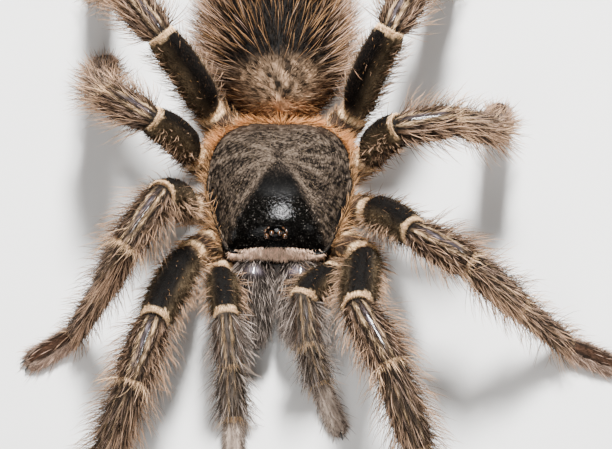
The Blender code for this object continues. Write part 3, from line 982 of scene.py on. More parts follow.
@dataclass
class Chelicera(Tube):
    """One of the two jaw bases in front: velvet with bare patches near the carapace."""

    def bareness(self, s: Array, a: Array) -> Array:
        """A patch on top, just in front of the carapace."""
        return hump(self.from_top(a), 8, 34) * hump(s, 0.235, 0.036)

    def markings(self, s: Array, a: Array) -> Array:
        """Dark at the root as painted shade under the fringe, grey further down, paler outside, violet
        where it is bare; painted shade deepens the streaks inwards and a painted highlight lies on the bare
        patch.
        """
        phi, bare = self.from_top(a), self.bareness(s, a)
        streak = np.clip(0.5 + 0.8 * ripple(self.points(s, a) * (1, 0.15, 0.15), 0.9, 31), 0, 1)
        return painted(
            # painted shade: dark at the root, under the carapace's front fringe
            Hue.SOOT.linear * 1.2,
            (Hue.GREY.linear * 0.5, ease(s, 0.3, 0.75)),
            # streaks, deepened towards the inner side by painted shade between the two jaw bases
            (Hue.SOOT, streak * (0.3 + 0.4 * ease(phi, 0, 35))),
            (Hue.PALE_GREY, ease(-phi, 25, 70) * ease(s, 0.3, 0.6) * 0.12),
            (Hue.BARE, bare),
            # painted highlight on the bare patch
            (Hue.SHEEN, hump(phi, 8, 16) * bare * 0.2),
        )


@dataclass
class Sternum(Surface):
    """The plate under the prosoma that carries the hips: a flattened oval."""

    half: tuple[float, float] = (6.0, 8.0)
    middle: Point = (0.0, 0.2, 5.65)
    depth: float = 2.45

    def points(self, s: Array, a: Array) -> Array:
        """Level ovals from its underside to its top, which narrow as a power of the height."""
        level = -np.cos(s * math.pi * 0.98 + 0.03)
        share = np.sqrt(np.clip(1 - np.abs(level) ** 3.5, 0.0, 1))
        flat = np.stack([self.half[0] * np.cos(a), self.half[1] * np.sin(a)], axis=-1)
        ring = np.concatenate([flat * share[..., None], (self.depth * level)[..., None]], axis=-1)
        return BODY + np.array(self.middle) + ring

    def outward(self, s: Array, a: Array) -> Array:
        """Away from its middle."""
        return self.points(s, a) - (BODY + np.array(self.middle))

    def markings(self, s: Array, a: Array) -> Array:
        """Sooty, slightly uneven."""
        return Hue.SOOT.linear * (1.2 + 0.2 * ripple(self.points(s, a), 0.8, 41))[..., None]

    def comb(self, s: Array, a: Array, place: Array, along: Array) -> Array:
        """Straight back."""
        return np.broadcast_to(np.array((0.0, 1.0, 0.0)), place.shape)

    def chart(self, s: Array, a: Array) -> Array:
        """Round, with its middle below."""
        return round_chart(0.48 * s / self.end, a)


# ---------------------------------------------------------------- the carapace


@dataclass
class Carapace(Surface):
    """The plate over the prosoma.

    s is 0 at its middle and 1 at its edge; from 1 to 1.1 it runs down the rim, and from
    there to 2 back to the middle underneath. Above its edge the dome rises by
    ridge(y) * (1 - s ** power), and the power grows towards the steep front. Grooves run
    out from the fovea, the pit where its muscles are rooted, and two of them set off the
    raised head.
    """

    outline: Pairs = (
        (0.0, -10.7), (4.4, -10.5), (6.5, -9.7), (7.6, -6.9), (8.9, -2.6),
        (9.6, 1.6), (9.1, 5.9), (7.1, 9.4), (3.7, 11.0), (0.0, 10.8),
    )  # fmt: skip
    ridge: Pairs = (
        (-10.7, 3.3), (-9.0, 4.6), (-4.0, 4.9), (1.0, 4.4), (3.9, 3.7), (7.0, 3.1), (10.6, 1.0),
    )  # fmt: skip
    edge_heights: tuple[float, float] = (9.3, 10.4)
    underside: float = 8.8
    middle_y: float = -0.5
    fovea: tuple[float, float] = (0.0, 3.9)
    groove_bearings: tuple[float, ...] = (33.0, 62.0, 92.0, 122.0, 152.0)
    crown: float = 0.045
    end: float = 2.0

    def __post_init__(self) -> None:
        """Runs a closed smooth curve through the outline and its mirror image."""
        half = np.array(self.outline)
        loop = np.concatenate([half, half[-2:0:-1] * (-1, 1)])
        wrapped = (np.roll(loop, shift, axis=0)[:, None] for shift in (1, 0, -1, -2))
        curve = catmull_rom(*wrapped, (np.arange(16) / 16)[None, :, None])
        spokes = curve.reshape(-1, 2) - (0.0, self.middle_y)
        angles = np.arctan2(spokes[:, 1], spokes[:, 0]) % TURN
        order = np.argsort(angles)
        self.edge_angles = angles[order]
        self.edge_reach = np.linalg.norm(spokes, axis=1)[order]

    def reach(self, a: Array) -> Array:
        """How far out the edge lies, at angles round the middle."""
        return np.interp(a % TURN, self.edge_angles, self.edge_reach, period=TURN)

    def covered(self, place: Array) -> Array:
        """How far out places lie, as a share of the way from the middle to the edge above them."""
        spoke = place[..., :2] - BODY[:2] - (0.0, self.middle_y)
        return np.linalg.norm(spoke, axis=-1) / self.reach(np.arctan2(spoke[..., 1], spoke[..., 0]))

    def room_under(self, place: Array) -> Array:
        """The greatest height at places under the plate, which grows outside its edge."""
        return self.underside - 0.1 + 12.0 * np.maximum(self.covered(place) - 1.0, 0.0)

    def from_fovea(self, x: Array, y: Array) -> tuple[Array, Array, Array]:
        """How far across, how far back and how far in all places lie from the fovea."""
        dx, dy = x - self.fovea[0], y - self.fovea[1]
        return dx, dy, np.hypot(dx, dy)

    def groove(self, x: Array, y: Array, number: int, width: float, reach: float) -> Array:
        """How near places lie to a groove, which fades out towards its end.

        Args:
            x: Places across the body.
            y: Places along it.
            number: Which groove.
            width: Half its width.
            reach: How far from the fovea it ends.

        Returns:
            From 0 away from it to 1 in its middle.
        """
        dx, dy, far = self.from_fovea(x, y)
        bearing = np.degrees(np.arctan2(np.abs(dx), -dy))
        off = np.radians(bearing - self.groove_bearings[number]) * far
        return hump(off, 0, width) * ease(far, 0.4, 1.5) * ease(far, reach, reach * 0.55)

    def relief(self, x: Array, y: Array) -> Array:
        """The pit and the grooves, as a height to add to the dome."""
        dx, dy, _ = self.from_fovea(x, y)
        pit = -0.75 * np.exp(-((dx / 0.75) ** 2) - (dy / 0.55) ** 2)
        numbers = range(1, len(self.groove_bearings))
        minor = sum(0.2 * self.groove(x, y, number, 0.5, 6.5) for number in numbers)
        return pit - 0.42 * self.groove(x, y, 0, 0.75, 11.5) - minor

    def points(self, s: Array, a: Array) -> Array:
        """The dome, its rim and its underside, as the class says."""
        share = np.where(s <= 1, s, np.where(s <= 1.1, 1.0, (2.0 - s) / 0.9))
        reach = self.reach(a) * share
        x, y = reach * np.cos(a), self.middle_y + reach * np.sin(a)
        low, high = self.edge_heights
        edge = low + (high - low) * ease(y, 0.0, -10.0)
        power = 2.5 + 5.0 * ease(y, -1.0, -11.0)
        dome = smoothed_table(self.ridge, y, 1.6) * (1 - share**power)
        crown = self.crown * x**2 * ease(y, 4.0, -6.0) * ease(share, 1.0, 0.93)
        top = edge + dome - crown + self.relief(x, y) * ease(share, 1.0, 0.9)
        down = np.clip((s - 1) / 0.1, 0, 1)
        z = np.where(s <= 1, top, edge + (self.underside - edge) * down)
        return np.stack([x, y, z], axis=-1) + BODY

    def outward(self, s: Array, a: Array) -> Array:
        """Up on the dome, sideways on the rim and down below."""
        away = np.stack([np.cos(a), np.sin(a), np.zeros_like(a)], axis=-1)
        upright = np.where(s <= 1, 2.0, np.where(s <= 1.1, 0.0, -2.0))
        return away * 0.4 + UP * upright[..., None]

    def head_share(self, x: Array, y: Array) -> Array:
        """1 on the bare black head region, 0 on the hairy plate behind and beside it."""
        half = np.where(y < -1.5, 2.6 + (-1.5 - y) * 0.53, 2.6 - (y + 1.5) * 0.35)
        return ease(np.abs(x) - half, 0.9, -0.7) * ease(y, 4.2, -1.0)

    def bald_share(self, x: Array, y: Array) -> Array:
        """1 on the front of the head region, where no hair grows at all."""
        return self.head_share(x, y) * ease(y, -0.5, -5.0)

    def flat(self, s: Array, a: Array) -> tuple[Array, Array]:
        """Places across and along the body, measured from the middle of the prosoma."""
        place = self.points(s, a) - BODY
        return place[..., 0], place[..., 1]

    def markings(self, s: Array, a: Array) -> Array:
        """Sooty with pale streaks that radiate from the fovea, and a black head."""
        x, y = self.flat(s, a)
        place = self.points(s, a)
        dx, dy, far = self.from_fovea(x, y)
        rays = np.stack([np.arctan2(dx, -dy) * 12, far * 0.5, 0 * far], axis=-1)
        streak = ripple(rays, 0.5, 51) + ripple(rays * (2.1, 1.7, 1), 0.5, 54)
        mottled = ripple(place, 0.42, 52) * ripple(place, 0.27, 55)
        ridges = sum(self.groove(x, y, number, 0.45, 12.0) for number in range(4))
        light = 0.36 + 0.18 * streak + 0.5 * mottled + 0.09 * ripple(place, 2.6, 56) + 0.24 * ridges
        light = ease(light, 0.16, 1.08) * ease(s, 1.0, 0.97)
        return painted(
            Hue.SOOT.linear * 0.25,
            (painted(Hue.TAUPE, (Hue.GREY, 0.3)), light),
            (Hue.VELVET.linear * (0.5 + 3 * light[..., None] ** 2), self.head_share(x, y)),
            (Hue.EARTH, ease(y, 7.5, 9.8) * 0.5 * ease(s, 0.8, 1.0)),
        )

    def bareness(self, s: Array, a: Array) -> Array:
        """Bare and shining on the front of the head."""
        return self.bald_share(*self.flat(s, a)) * ease(s, 1.02, 0.98)

    def comb(self, s: Array, a: Array, place: Array, along: Array) -> Array:
        """Away from the fovea."""
        hub = BODY + np.array((*self.fovea, 0.0))
        return unit((place - hub) * (1, 1, 0) + 1e-6)

    def chart(self, s: Array, a: Array) -> Array:
        """Round, with the dome inside and the underside in a ring about it."""
        reach = np.where(s <= 1.1, 0.42 * s / 1.1, 0.42 + 0.06 * (s - 1.1) / 0.9)
        return round_chart(reach, a)


# ---------------------------------------------------------------- coats


Growth = Sequence[tuple[Layer, Weight]]


def velvet(density: float, longest: float = 0.8, tip: Hue = Hue.TAUPE, share: float = 0.2) -> Layer:
    """Short hair that lies nearly flat."""
    return Layer(density, (longest * 0.55, longest), (8, 26), 0.045, 0.0, 18, 1, tip, share, 0.5, 0.5)


def streaky(density: float, longest: float) -> Layer:
    """Flat hair whose brightness changes from one hair to the next, so that it looks combed."""
    return Layer(density, (longest * 0.5, longest), (8, 30), 0.044, 0.1, 9, 1, Hue.TAN, 0.12, 0.3, 0.95)


def combed(density: float, length: tuple[float, float], tip: Hue) -> Layer:
    """Long pale hair that lies along the limb over the dark ground."""
    return Layer(density, length, (8, 26), 0.034, 0.1, 8, 2, tip, 0.75, 0.2, 0.8, fade=1.0)


def bristles(density: float, length: tuple[float, float], tip: Hue, share: float = 0.6) -> Layer:
    """Middling hair, half raised."""
    return Layer(density, length, (20, 54), 0.036, 0.3, 15, 2, tip, share, 0.12, 0.8, fade=1.5)


def setae(
    density: float, length: tuple[float, float], tip: Hue, lift: tuple[float, float] = (36, 74)
) -> Layer:
    """Long hair that stands out and bends towards the tip of the limb."""
    return Layer(density, length, lift, 0.04, 0.32, 13, 3, tip, 0.85, 0.15, 0.5, wave=0.06, fade=0.85)


@dataclass
class Coat:
    """The hair of one surface, grown layer by layer.

    Args:
        surface: What it grows on.
        rng: Where the random numbers come from.
        rows: How many cells along the surface its hairs are shared out between.
        columns: How many cells round the surface.
    """

    surface: Surface
    rng: Random
    rows: int = 120
    columns: int = 72

    def grow(self, layer: Layer, weight: Weight) -> Shape:
        """A layer, as thick as weight says, in the skin's own colours."""
        spots = self.surface.scatter(layer.density, weight, self.rng, self.rows, self.columns)
        return hairs(spots, layer, self.surface.markings(spots.s, spots.a), self.rng)

    def where_hairy(self, s: Array, a: Array) -> Array:
        """Everywhere but on bare patches."""
        return 1 - 0.9 * self.surface.bareness(s, a)

    def plain(self, *layers: Layer) -> Shape:
        """Layers that stand wherever the surface isn't bare."""
        return join(self.grow(layer, self.where_hairy) for layer in layers)


@dataclass
class LimbCoat:
    """The hair of one limb. Its weights take t and the degrees from the top, as the painters do."""

    CELLS = (360, 72)
    LONG = {  # flat hair's length; combed hair; bristles; longest hair and how bare its top is; cuff
        "patella": (1.6, (1.6, (1.4, 2.8)), (7.0, (1.4, 2.8)), (7.4, 2.8, 5.9), 0.12, (0.34, 60, 0.55)),
        "tibia": (1.7, (2.4, (1.6, 3.0)), (7.5, (1.4, 2.8)), (8.0, 2.8, 6.1), 0.12, (0.38, 64, 0.75)),
        "metatarsus": (1.6, (2.6, (1.4, 2.6)), (8.0, (1.2, 2.4)), (7.6, 2.3, 5.0), 0.1, (0.34, 64, 0.65)),
    }

    limb: Limb
    rng: Random

    def __post_init__(self) -> None:
        """Chooses its pale colours, which are greyer on a palp."""
        self.fringe, self.outer = (Hue.PALE_GREY,) * 2 if self.limb.is_palp else (Hue.PINK, Hue.TAN)

    def shape(self) -> Shape:
        """Every layer of every segment."""
        grown = []
        for number, (segment, length) in enumerate(zip(self.limb.segments, self.limb.lengths)):
            name = segment.node_suffix
            layers = self.long(name, length) if name in self.LONG else getattr(self, name)(length)
            grown += [self.grow(number, layer, weight) for layer, weight in layers]
        return join(shape for shape in grown if len(shape.places))

    def grow(self, number: int, layer: Layer, weight: Weight) -> Shape:
        """A layer on one segment, where each hair's marking is picked up a little way off.

        Args:
            number: Which segment.
            layer: What the hairs are like.
            weight: How thickly they stand.

        Returns:
            The hairs.
        """
        limb = self.limb

        def asked(s: Array, a: Array) -> Array:
            """Nothing off the segment, under the carapace, on bare skin or in a joint."""
            index, t = limb.part(s)
            phi = limb.from_top(a)
            inside = ease(t * limb.lengths[number], 0.0, 0.15)
            clear = (index > 0) | (limb.plate.covered(limb.points(s, a)) > 0.97) | (np.abs(phi) > 80)
            return (index == number) * clear * weight(t, phi) * inside * (1 - limb.bareness(s, a))

        spots = limb.scatter(layer.density, asked, self.rng, *self.CELLS)
        count = len(spots.s)
        s = np.clip(spots.s + self.rng.normal(0, 0.012, count), number, number + 0.999)
        marking = limb.markings(s, spots.a + self.rng.normal(0, 0.03, count))
        return hairs(spots, layer, marking, self.rng)

    def everywhere(self, t: Array, phi: Array) -> Array:
        """All round, thinner below."""
        return 1 - 0.45 * ease(np.abs(phi), 110, 150)

    def back(self, t: Array, phi: Array) -> Array:
        """The upper side only."""
        return ease(np.abs(phi), 75, 45) * ease(t, 0.02, 0.08)

    def sides(self, t: Array, phi: Array) -> Array:
        """Mostly the flanks, some above, fewer below, and more towards the far end."""
        return (0.14 + 0.86 * hump(np.abs(phi), 78, 36)) * (0.8 + 0.4 * t)

    def cuff(
        self, length: float, width: float, density: float, longest: float, lobes: float = 0.0
    ) -> tuple[Layer, Weight]:
        """Short thick pale hair in a band along a segment's far edge.

        Args:
            length: The segment's length.
            width: How wide the band is.
            density: How many hairs a square millimetre has.
            longest: Their greatest length.
            lobes: How much its inner edge swings.

        Returns:
            The layer with its weight.
        """
        span = (longest * 0.5, longest)
        layer = Layer(density, span, (12, 54), 0.046, 0.2, 24, 1, Hue.CREAM, 0.85, 0.7, 0.34)
        return layer, lambda t, phi: self.limb.cuff(t, phi, length, width, lobes)

    def hip(self, length: float) -> Growth:
        """Velvet with peach bristles at the sides."""
        return [
            (velvet(16, 0.9), self.everywhere),
            (
                bristles(7.0, (1.2, 2.6), Hue.PEACH, 0.7),
                lambda t, phi: ease(t, 0.15, 0.35) * (0.35 + 0.65 * hump(np.abs(phi), 80, 40)),
            ),
            self.cuff(length, 0.5, 34, 0.7),
        ]

    def femur(self, length: float) -> Growth:
        """Black velvet, olive fuzz at the sides, a few golden hairs on top and long ones below."""
        fuzz = Layer(11, (0.7, 1.3), (40, 76), 0.036, 0.25, 14, 1, Hue.OLIVE, 0.6, 0.5, 0.6)
        return [
            (velvet(24, 0.8, Hue.EARTH, 0.5), self.everywhere),
            (
                bristles(6.5, (0.9, 1.9), Hue.TAUPE, 0.5),
                lambda t, phi: ease(np.abs(phi), 45, 80) * ease(t, 0.97, 0.85),
            ),
            (fuzz, lambda t, phi: hump(np.abs(phi), 84, 34) * hump(t, 0.5, 0.42)),
            (bristles(0.35, (0.7, 1.5), Hue.GOLD, 0.8), self.back),
            (
                setae(5.0, (2.0, 4.2), Hue.TAN),
                lambda t, phi: (0.02 + ease(np.abs(phi), 62, 90) * ease(np.abs(phi), 170, 130))
                * ease(t, 0.95, 0.85),
            ),
            self.cuff(length, FEMUR_CUFF, 90, 0.68, CUFF_LOBES),
        ]

    def long(self, name: str, length: float) -> Growth:
        """The layers of a patella, tibia or metatarsus; the longest hair is shorter on a palp."""
        flat, comb, raised, (density, *reach), less, cuff = self.LONG[name]
        scale = 0.7 if self.limb.is_palp else 1.0
        outermost = setae(density, tuple(end * scale for end in reach), self.outer)
        return [
            (streaky(18, flat), self.everywhere),
            (combed(*comb, self.fringe), self.back),
            (bristles(*raised, self.fringe, 0.3), self.sides),
            (outermost, lambda t, phi: self.sides(t, phi) - less),
            self.cuff(length, *cuff),
        ]

    def tarsus(self, length: float) -> Growth:
        """A velvet oval, a brush round it and a tuft over the claws."""
        brush = Layer(46, (0.7, 1.4), (35, 66), 0.034, 0.3, 12, 1, self.fringe, 0.5, 0.2, 0.5)
        tuft = Layer(30, (0.5, 0.95), (30, 70), 0.04, 0.3, 18, 1, self.fringe, 0.5, 0.4, 0.4)
        return [
            (velvet(28, 0.7, Hue.TAUPE, 0.2), self.everywhere),
            (brush, lambda t, phi: ease(np.abs(phi), 34, 50) * ease(t, 0.98, 0.9)),
            (setae(2.8, (1.4, 2.8), self.fringe, (25, 60)), self.sides),
            (tuft, lambda t, phi: ease(t, 0.9, 0.95)),
        ]


class AbdomenCoat(Coat):
    """Black velvet with long pale hairs that sweep up and back."""

    def shape(self) -> Shape:
        """Every layer with its weight."""
        from_top = self.surface.from_top
        full = Layer(6.6, (3.2, 5.6), (50, 84), 0.034, 0.3, 14, 2, Hue.TAN, 0.36, 0.4, 0.8, wave=0.08)
        gold, pale = setae(1.3, (3.6, 6.2), Hue.GOLD, (44, 64)), setae(3.4, (4.4, 7.2), Hue.PINK, (50, 78))
        gold = replace(gold, girth=0.022, stray=8.0, wave=0.13, fade=0.5)
        pale = replace(pale, girth=0.032, stray=10.0, wave=0.12, fade=0.6)
        layers = (
            (velvet(16, 1.1, Hue.TAUPE, 0.2), lambda s, a: 1.0),
            (replace(bristles(4.2, (1.6, 2.8), Hue.EARTH, 0.4), lift=(35, 65)), lambda s, a: 1.0),
            (full, lambda s, a: hump(from_top(a), 80, 34) * ease(s, 0.08, 0.2) * ease(s, 0.95, 0.75)),
            (gold, lambda s, a: (0.35 + 0.65 * ease(from_top(a), 125, 80)) * ease(s, 0.14, 0.24)),
            (pale, lambda s, a: hump(from_top(a), 88, 30) * ease(s, 0.1, 0.2)),
            (
                bristles(4, (1.2, 2.6), Hue.PEACH, 0.3),
                lambda s, a: ease(s, 0.16, 0.07) * ease(from_top(a), 40, 70),
            ),
            (
                replace(bristles(6, (1.0, 2.0), Hue.PEACH, 0.5), lift=(50, 85)),
                lambda s, a: ease(s, 0.06, 0.03),
            ),
        )
        return join(self.grow(layer, weight) for layer, weight in layers)


class CarapaceCoat(Coat):
    """Short hair that radiates from the fovea, and the fringes along the edge."""

    FRONT_HAIRS = 4300
    FRONT_HALF = 5.9  # half the width of the front fringe

    def on_top(self, s: Array, a: Array) -> Array:
        """The hairy plate, above its edge."""
        return (s < 1.1) * (1 - self.surface.head_share(*self.surface.flat(s, a)))

    def on_head(self, s: Array, a: Array) -> Array:
        """The rear of the head region."""
        x, y = self.surface.flat(s, a)
        return (s < 1.1) * self.surface.head_share(x, y) * (1 - 0.94 * self.surface.bald_share(x, y))

    def front_fringe(self) -> Shape:
        """Hairs along the front edge that hang over the chelicerae."""
        rng, count = self.rng, self.FRONT_HAIRS
        x = rng.uniform(-self.FRONT_HALF, self.FRONT_HALF, count) + rng.normal(0, 0.25, count)
        a = np.arctan2(-10.0 - self.surface.middle_y, x)
        ends = ease(np.abs(x), 3.0, 5.5)
        s = 0.984 - 0.06 * rng.random(count) ** 1.6 + 0.03 * ends * rng.random(count)
        spots = self.surface.spots(s, a)
        slope = np.full(count, 0.7)
        spots.normal = unit(np.stack([x * 0.035, -slope, slope], axis=-1))
        spots.lie = unit(np.stack([x * 0.035, -slope, -slope], axis=-1))
        layer = Layer(0, (0.5, 1.05), (-12, 36), 0.026, 0.35, 20, 2, Hue.FROST, 0.9, 0.55, 0.6, wave=0.08)
        marking = painted(Hue.PINK.linear * 0.95, (Hue.PEACH, 0.3 * ends))
        marking *= (1 + 0.7 * ripple(spots.place, 0.5, 61))[:, None]
        stretch = (1 + 0.22 * ripple(spots.place, 1.1, 62)) * (1 - 0.1 * ends)
        return hairs(spots, layer, marking, rng, stretch)

    def edge_fringe(self, count: int, layer: Layer, rear_only: float) -> Shape:
        """Peach hair round the sides and the rear edge, swept back along it.

        Args:
            count: How many hairs are tried.
            layer: What they are like.
            rear_only: From 0, all round, to 1, only behind and at the rear corners.

        Returns:
            The hairs that stand.
        """
        rng = self.rng
        a = rng.uniform(-0.28 * math.pi, 1.28 * math.pi, count)
        a = a[rng.random(count) < 1 - rear_only * (1 - ease(np.sin(a), 0.35, 0.75))]
        behind = ease(np.sin(a), 0.4, 0.8)
        spots = self.surface.spots(0.96 + 0.05 * behind + rng.uniform(0, 0.09, len(a)), a)
        beside = ease(np.abs(np.cos(a)), 0.55, 0.9)
        sideways = np.clip(5 * np.cos(a), -1, 1) * (1 - 0.5 * beside)
        spots.lie = unit(np.stack([sideways, 0.25 + 0.6 * beside, np.zeros(len(a))], axis=-1))
        spots.normal = np.broadcast_to(UP, spots.lie.shape)
        corner = behind * ease(np.abs(np.cos(a)), 0.15, 0.5)
        bright = painted(Hue.ORANGE, (Hue.PEACH, 0.2))
        marking = painted(Hue.TAUPE.linear * 0.6, (Hue.ORANGE.linear * 0.7, behind), (bright, corner))
        return hairs(spots, layer, marking, rng)

    def shape(self) -> Shape:
        """The flat hair, the raised hair and the fringes."""
        flat = Layer(66, (0.24, 0.56), (4, 22), 0.03, 0.0, 14, 1, Hue.TAUPE, 0.06, 0.35, 1.0)
        dark = Layer(50, (0.24, 0.56), (4, 20), 0.03, 0.0, 14, 1, Hue.EARTH, 0.06, 0.35, 0.6)
        raised = Layer(3.0, (0.5, 1.0), (14, 36), 0.028, 0.3, 16, 2, Hue.OLIVE, 0.6, 0.4, 0.5)
        rim = Layer(0, (0.35, 0.9), (-25, 12), 0.036, 0.2, 26, 1, Hue.PEACH, 0.7, 0.2, 0.6)
        loose = Layer(0, (0.9, 2.9), (-25, 22), 0.034, 0.35, 18, 2, Hue.PEACH, 0.8, 0.15, 0.7)
        return join(
            [
                self.grow(flat, self.on_top),
                self.grow(dark, self.on_head),
                self.grow(raised, self.on_top),
                self.front_fringe(),
                self.edge_fringe(3400, rim, 0.5),
                self.edge_fringe(900, loose, 0.0),
                self.edge_fringe(4600, replace(loose, lift=(-15, 40), tip_share=0.5, uneven=0.9), 1.0),
            ]
        )


# ---------------------------------------------------------------- materials


Settings = dict[str | int, object]


def operator(operation: str, swapped: bool = False) -> Callable[["Wire", "Wire | float"], "Wire"]:
    """An operator that adds a Math node; the swapped form serves a number in front of a wire."""
    return lambda wire, other: wire.maths(operation, *((other, wire) if swapped else (wire, other)))


@dataclass(frozen=True)
class Wire:
    """One output in a shader tree that can be calculated with like a number."""

    shader: "Shader"
    socket: bpy.types.NodeSocket

    def maths(self, operation: str, left: "Wire | float", right: "Wire | float") -> "Wire":
        """The output of a Math node fed with two values."""
        return self.shader.node("ShaderNodeMath", {"operation": operation}, {0: left, 1: right})

    __add__, __radd__ = operator("ADD"), operator("ADD", swapped=True)
    __sub__, __rsub__ = operator("SUBTRACT"), operator("SUBTRACT", swapped=True)
    __mul__, __rmul__ = operator("MULTIPLY"), operator("MULTIPLY", swapped=True)


class Shader:
    """A material and its node tree."""

    def __init__(self, name: str):
        """Makes the material."""
        self.material = bpy.data.materials.new(name)
        self.material.use_nodes = True
        self.tree = self.material.node_tree

    def plug(self, node: bpy.types.Node, sockets: Settings) -> None:
        """Sets inputs of a node to values, or links wires to them."""
        for key, value in sockets.items():
            if isinstance(value, Wire):
                self.tree.links.new(value.socket, node.inputs[key])
            else:
                node.inputs[key].default_value = value

    def node(self, kind: str, settings: Settings, sockets: Settings, output: str | int = 0) -> Wire:
        """Adds a node.

        Args:
            kind: Its type.
            settings: What is set before its sockets.
            sockets: A value or a wire for each input that needs one.
            output: Which output is wanted.

        Returns:
            That output.
        """
        made = self.tree.nodes.new(kind)
        for key, value in settings.items():
            setattr(made, key, value)
        self.plug(made, sockets)
        return Wire(self, made.outputs[output])

    def noise(self, scale: float, detail: float) -> Wire:
        """Noise on the object's own coordinates, with a scale per metre."""
        place = self.node("ShaderNodeTexCoord", {}, {}, "Object")
        return self.node("ShaderNodeTexNoise", {}, {"Vector": place, "Scale": scale, "Detail": detail})

    def finish(self, sockets: Settings) -> bpy.types.Material:
        """Sets or links the surface's own sockets, and gives the material."""
        self.plug(self.tree.nodes["Principled BSDF"], sockets)
        return self.material


@dataclass(frozen=True)
class Finish:
    """What makes one material of the animal.

    Args:
        name: The material's name.
        roughness: Roughness where the surface is hairy or dull.
        bare_roughness: Roughness where the gloss attribute is 1.
        grain: Size in millimetres of the fine bumps; 0 leaves them out.
        grain_depth: Height in millimetres of those bumps.
        mottle: How much a slow noise changes the brightness.
        specular: Strength of the mirror-like part.
        lacquer: Coat weight where the gloss attribute is 1, for wet-looking skin.
        specks: How much brighter bare parts get in fine specks of painted glint.
    """

    name: str
    roughness: float
    bare_roughness: float
    grain: float
    grain_depth: float
    mottle: float
    specular: float
    lacquer: float = 0.0
    specks: float = 0.0

    def build(self) -> bpy.types.Material:
        """The material, painted by the mesh's own hue and gloss."""
        shader = Shader(self.name)
        hue = shader.node("ShaderNodeAttribute", {"attribute_name": "hue"}, {}, "Color")
        shine = shader.node("ShaderNodeAttribute", {"attribute_name": "gloss"}, {}, "Fac")
        bright = shader.noise(420.0, 3.0) * (2 * self.mottle) + (1 - self.mottle)
        # painted glints: fine specks of base colour brightened where the skin is bare
        if self.specks:
            above = shader.noise(5200.0, 2.0) - GLINT_LEVEL
            bright = bright + above.maths("MAXIMUM", above, 0.0) * shine * self.specks
        scaled = {"Vector": hue, "Scale": bright}
        sockets = {
            "Base Color": shader.node("ShaderNodeVectorMath", {"operation": "SCALE"}, scaled),
            "Roughness": shine * (self.bare_roughness - self.roughness) + self.roughness,
            "Specular IOR Level": self.specular,
            "Coat Roughness": 0.08,
        }
        if self.lacquer:
            sockets["Coat Weight"] = shine * self.lacquer
        if self.grain:
            height = shader.noise(1 / (self.grain * MM), 4.0)
            bumps = {"Height": height, "Strength": 1.0, "Distance": self.grain_depth * MM}
            sockets["Normal"] = shader.node("ShaderNodeBump", {}, bumps)
        return shader.finish(sockets)


GLINT_LEVEL = 0.62  # the noise value above which bare plate gets painted glints
SKIN_FINISH = Finish("velvet_skin", 0.8, 0.3, 0.25, 0.04, 0.2, 0.1, 0.7)
# its last value paints glints on the bare head
PLATE_FINISH = Finish("carapace_plate", 0.95, 0.09, 0.32, 0.06, 0.15, 0.07, 0.0, 260.0)
COAT_FINISH = Finish("body_coat", 0.6, 0.6, 0.0, 0.0, 0.12, 0.05)
HORN_FINISH = Finish("black_horn", 0.22, 0.2, 0.5, 0.01, 0.2, 0.6, 0.6)
EYE_FINISH = Finish("eye_lens", 0.1, 0.06, 0.0, 0.0, 0.05, 0.6, 0.8)


# ---------------------------------------------------------------- assembly


@dataclass(frozen=True)
class Ball(Surface):
    """An oval ball that is bare all over and darkest where it faces a given way."""

    middle: Array
    half: Array
    facing: Array
    hue: Array

    def points(self, s: Array, a: Array) -> Array:
        """Circles of latitude, stretched to the half-sizes."""
        polar = 0.05 + s * (math.pi - 0.1)
        ring = np.stack([np.sin(polar) * np.cos(a), np.sin(polar) * np.sin(a), np.cos(polar)], axis=-1)
        return self.middle + ring * self.half

    def markings(self, s: Array, a: Array) -> Array:
        """Its colour, nearly black in front like a pupil."""
        facing = dot(unit((self.points(s, a) - self.middle) / self.half), self.facing)
        return self.hue * (1 - 0.92 * ease(facing, 0.62, 0.9)[..., None])

    def bareness(self, s: Array, a: Array) -> Array:
        """Bare everywhere."""
        return np.ones(s.shape)

    def ball(self, rings: int, around: int, chart: Chart) -> Shape:
        """Its mesh."""
        return self.shell(np.linspace(0, 1, rings), around, chart)


@dataclass(frozen=True)
class Eyes:
    """The eye mound near the carapace's front edge, with four lenses on each side of it."""

    middle: Point = (0.0, -8.9, 13.7)
    half: Point = (1.45, 1.05, 0.85)
    amber: Point = (0.06, 0.024, 0.008)  # in linear light
    lenses: tuple[tuple[float, float, float, float], ...] = (
        (0.52, -0.42, 0.62, 0.34), (1.18, -0.62, 0.22, 0.36),
        (0.95, 0.42, 0.42, 0.24), (1.32, 0.12, 0.20, 0.28),
    )  # fmt: skip

    def shapes(self) -> tuple[Shape, Shape]:
        """The mound, and all eight lenses."""
        centre = BODY + np.array(self.middle)
        mound = Ball(centre, np.array(self.half), UP, Hue.VELVET.linear * 0.6).ball(40, 60, Chart())
        charts = iter(Chart.grid(8))
        made = []
        for mirror in MIRRORS.values():
            for x, y, z, radius in self.lenses:
                spot = centre + np.array((x * mirror, y, z))
                outward = unit(np.array((x * mirror, 1.4 * y, 0.8)))
                lens = Ball(spot, np.full(3, radius), outward, np.array(self.amber))
                made.append(lens.ball(36, 40, next(charts)))
        return mound, join(made)


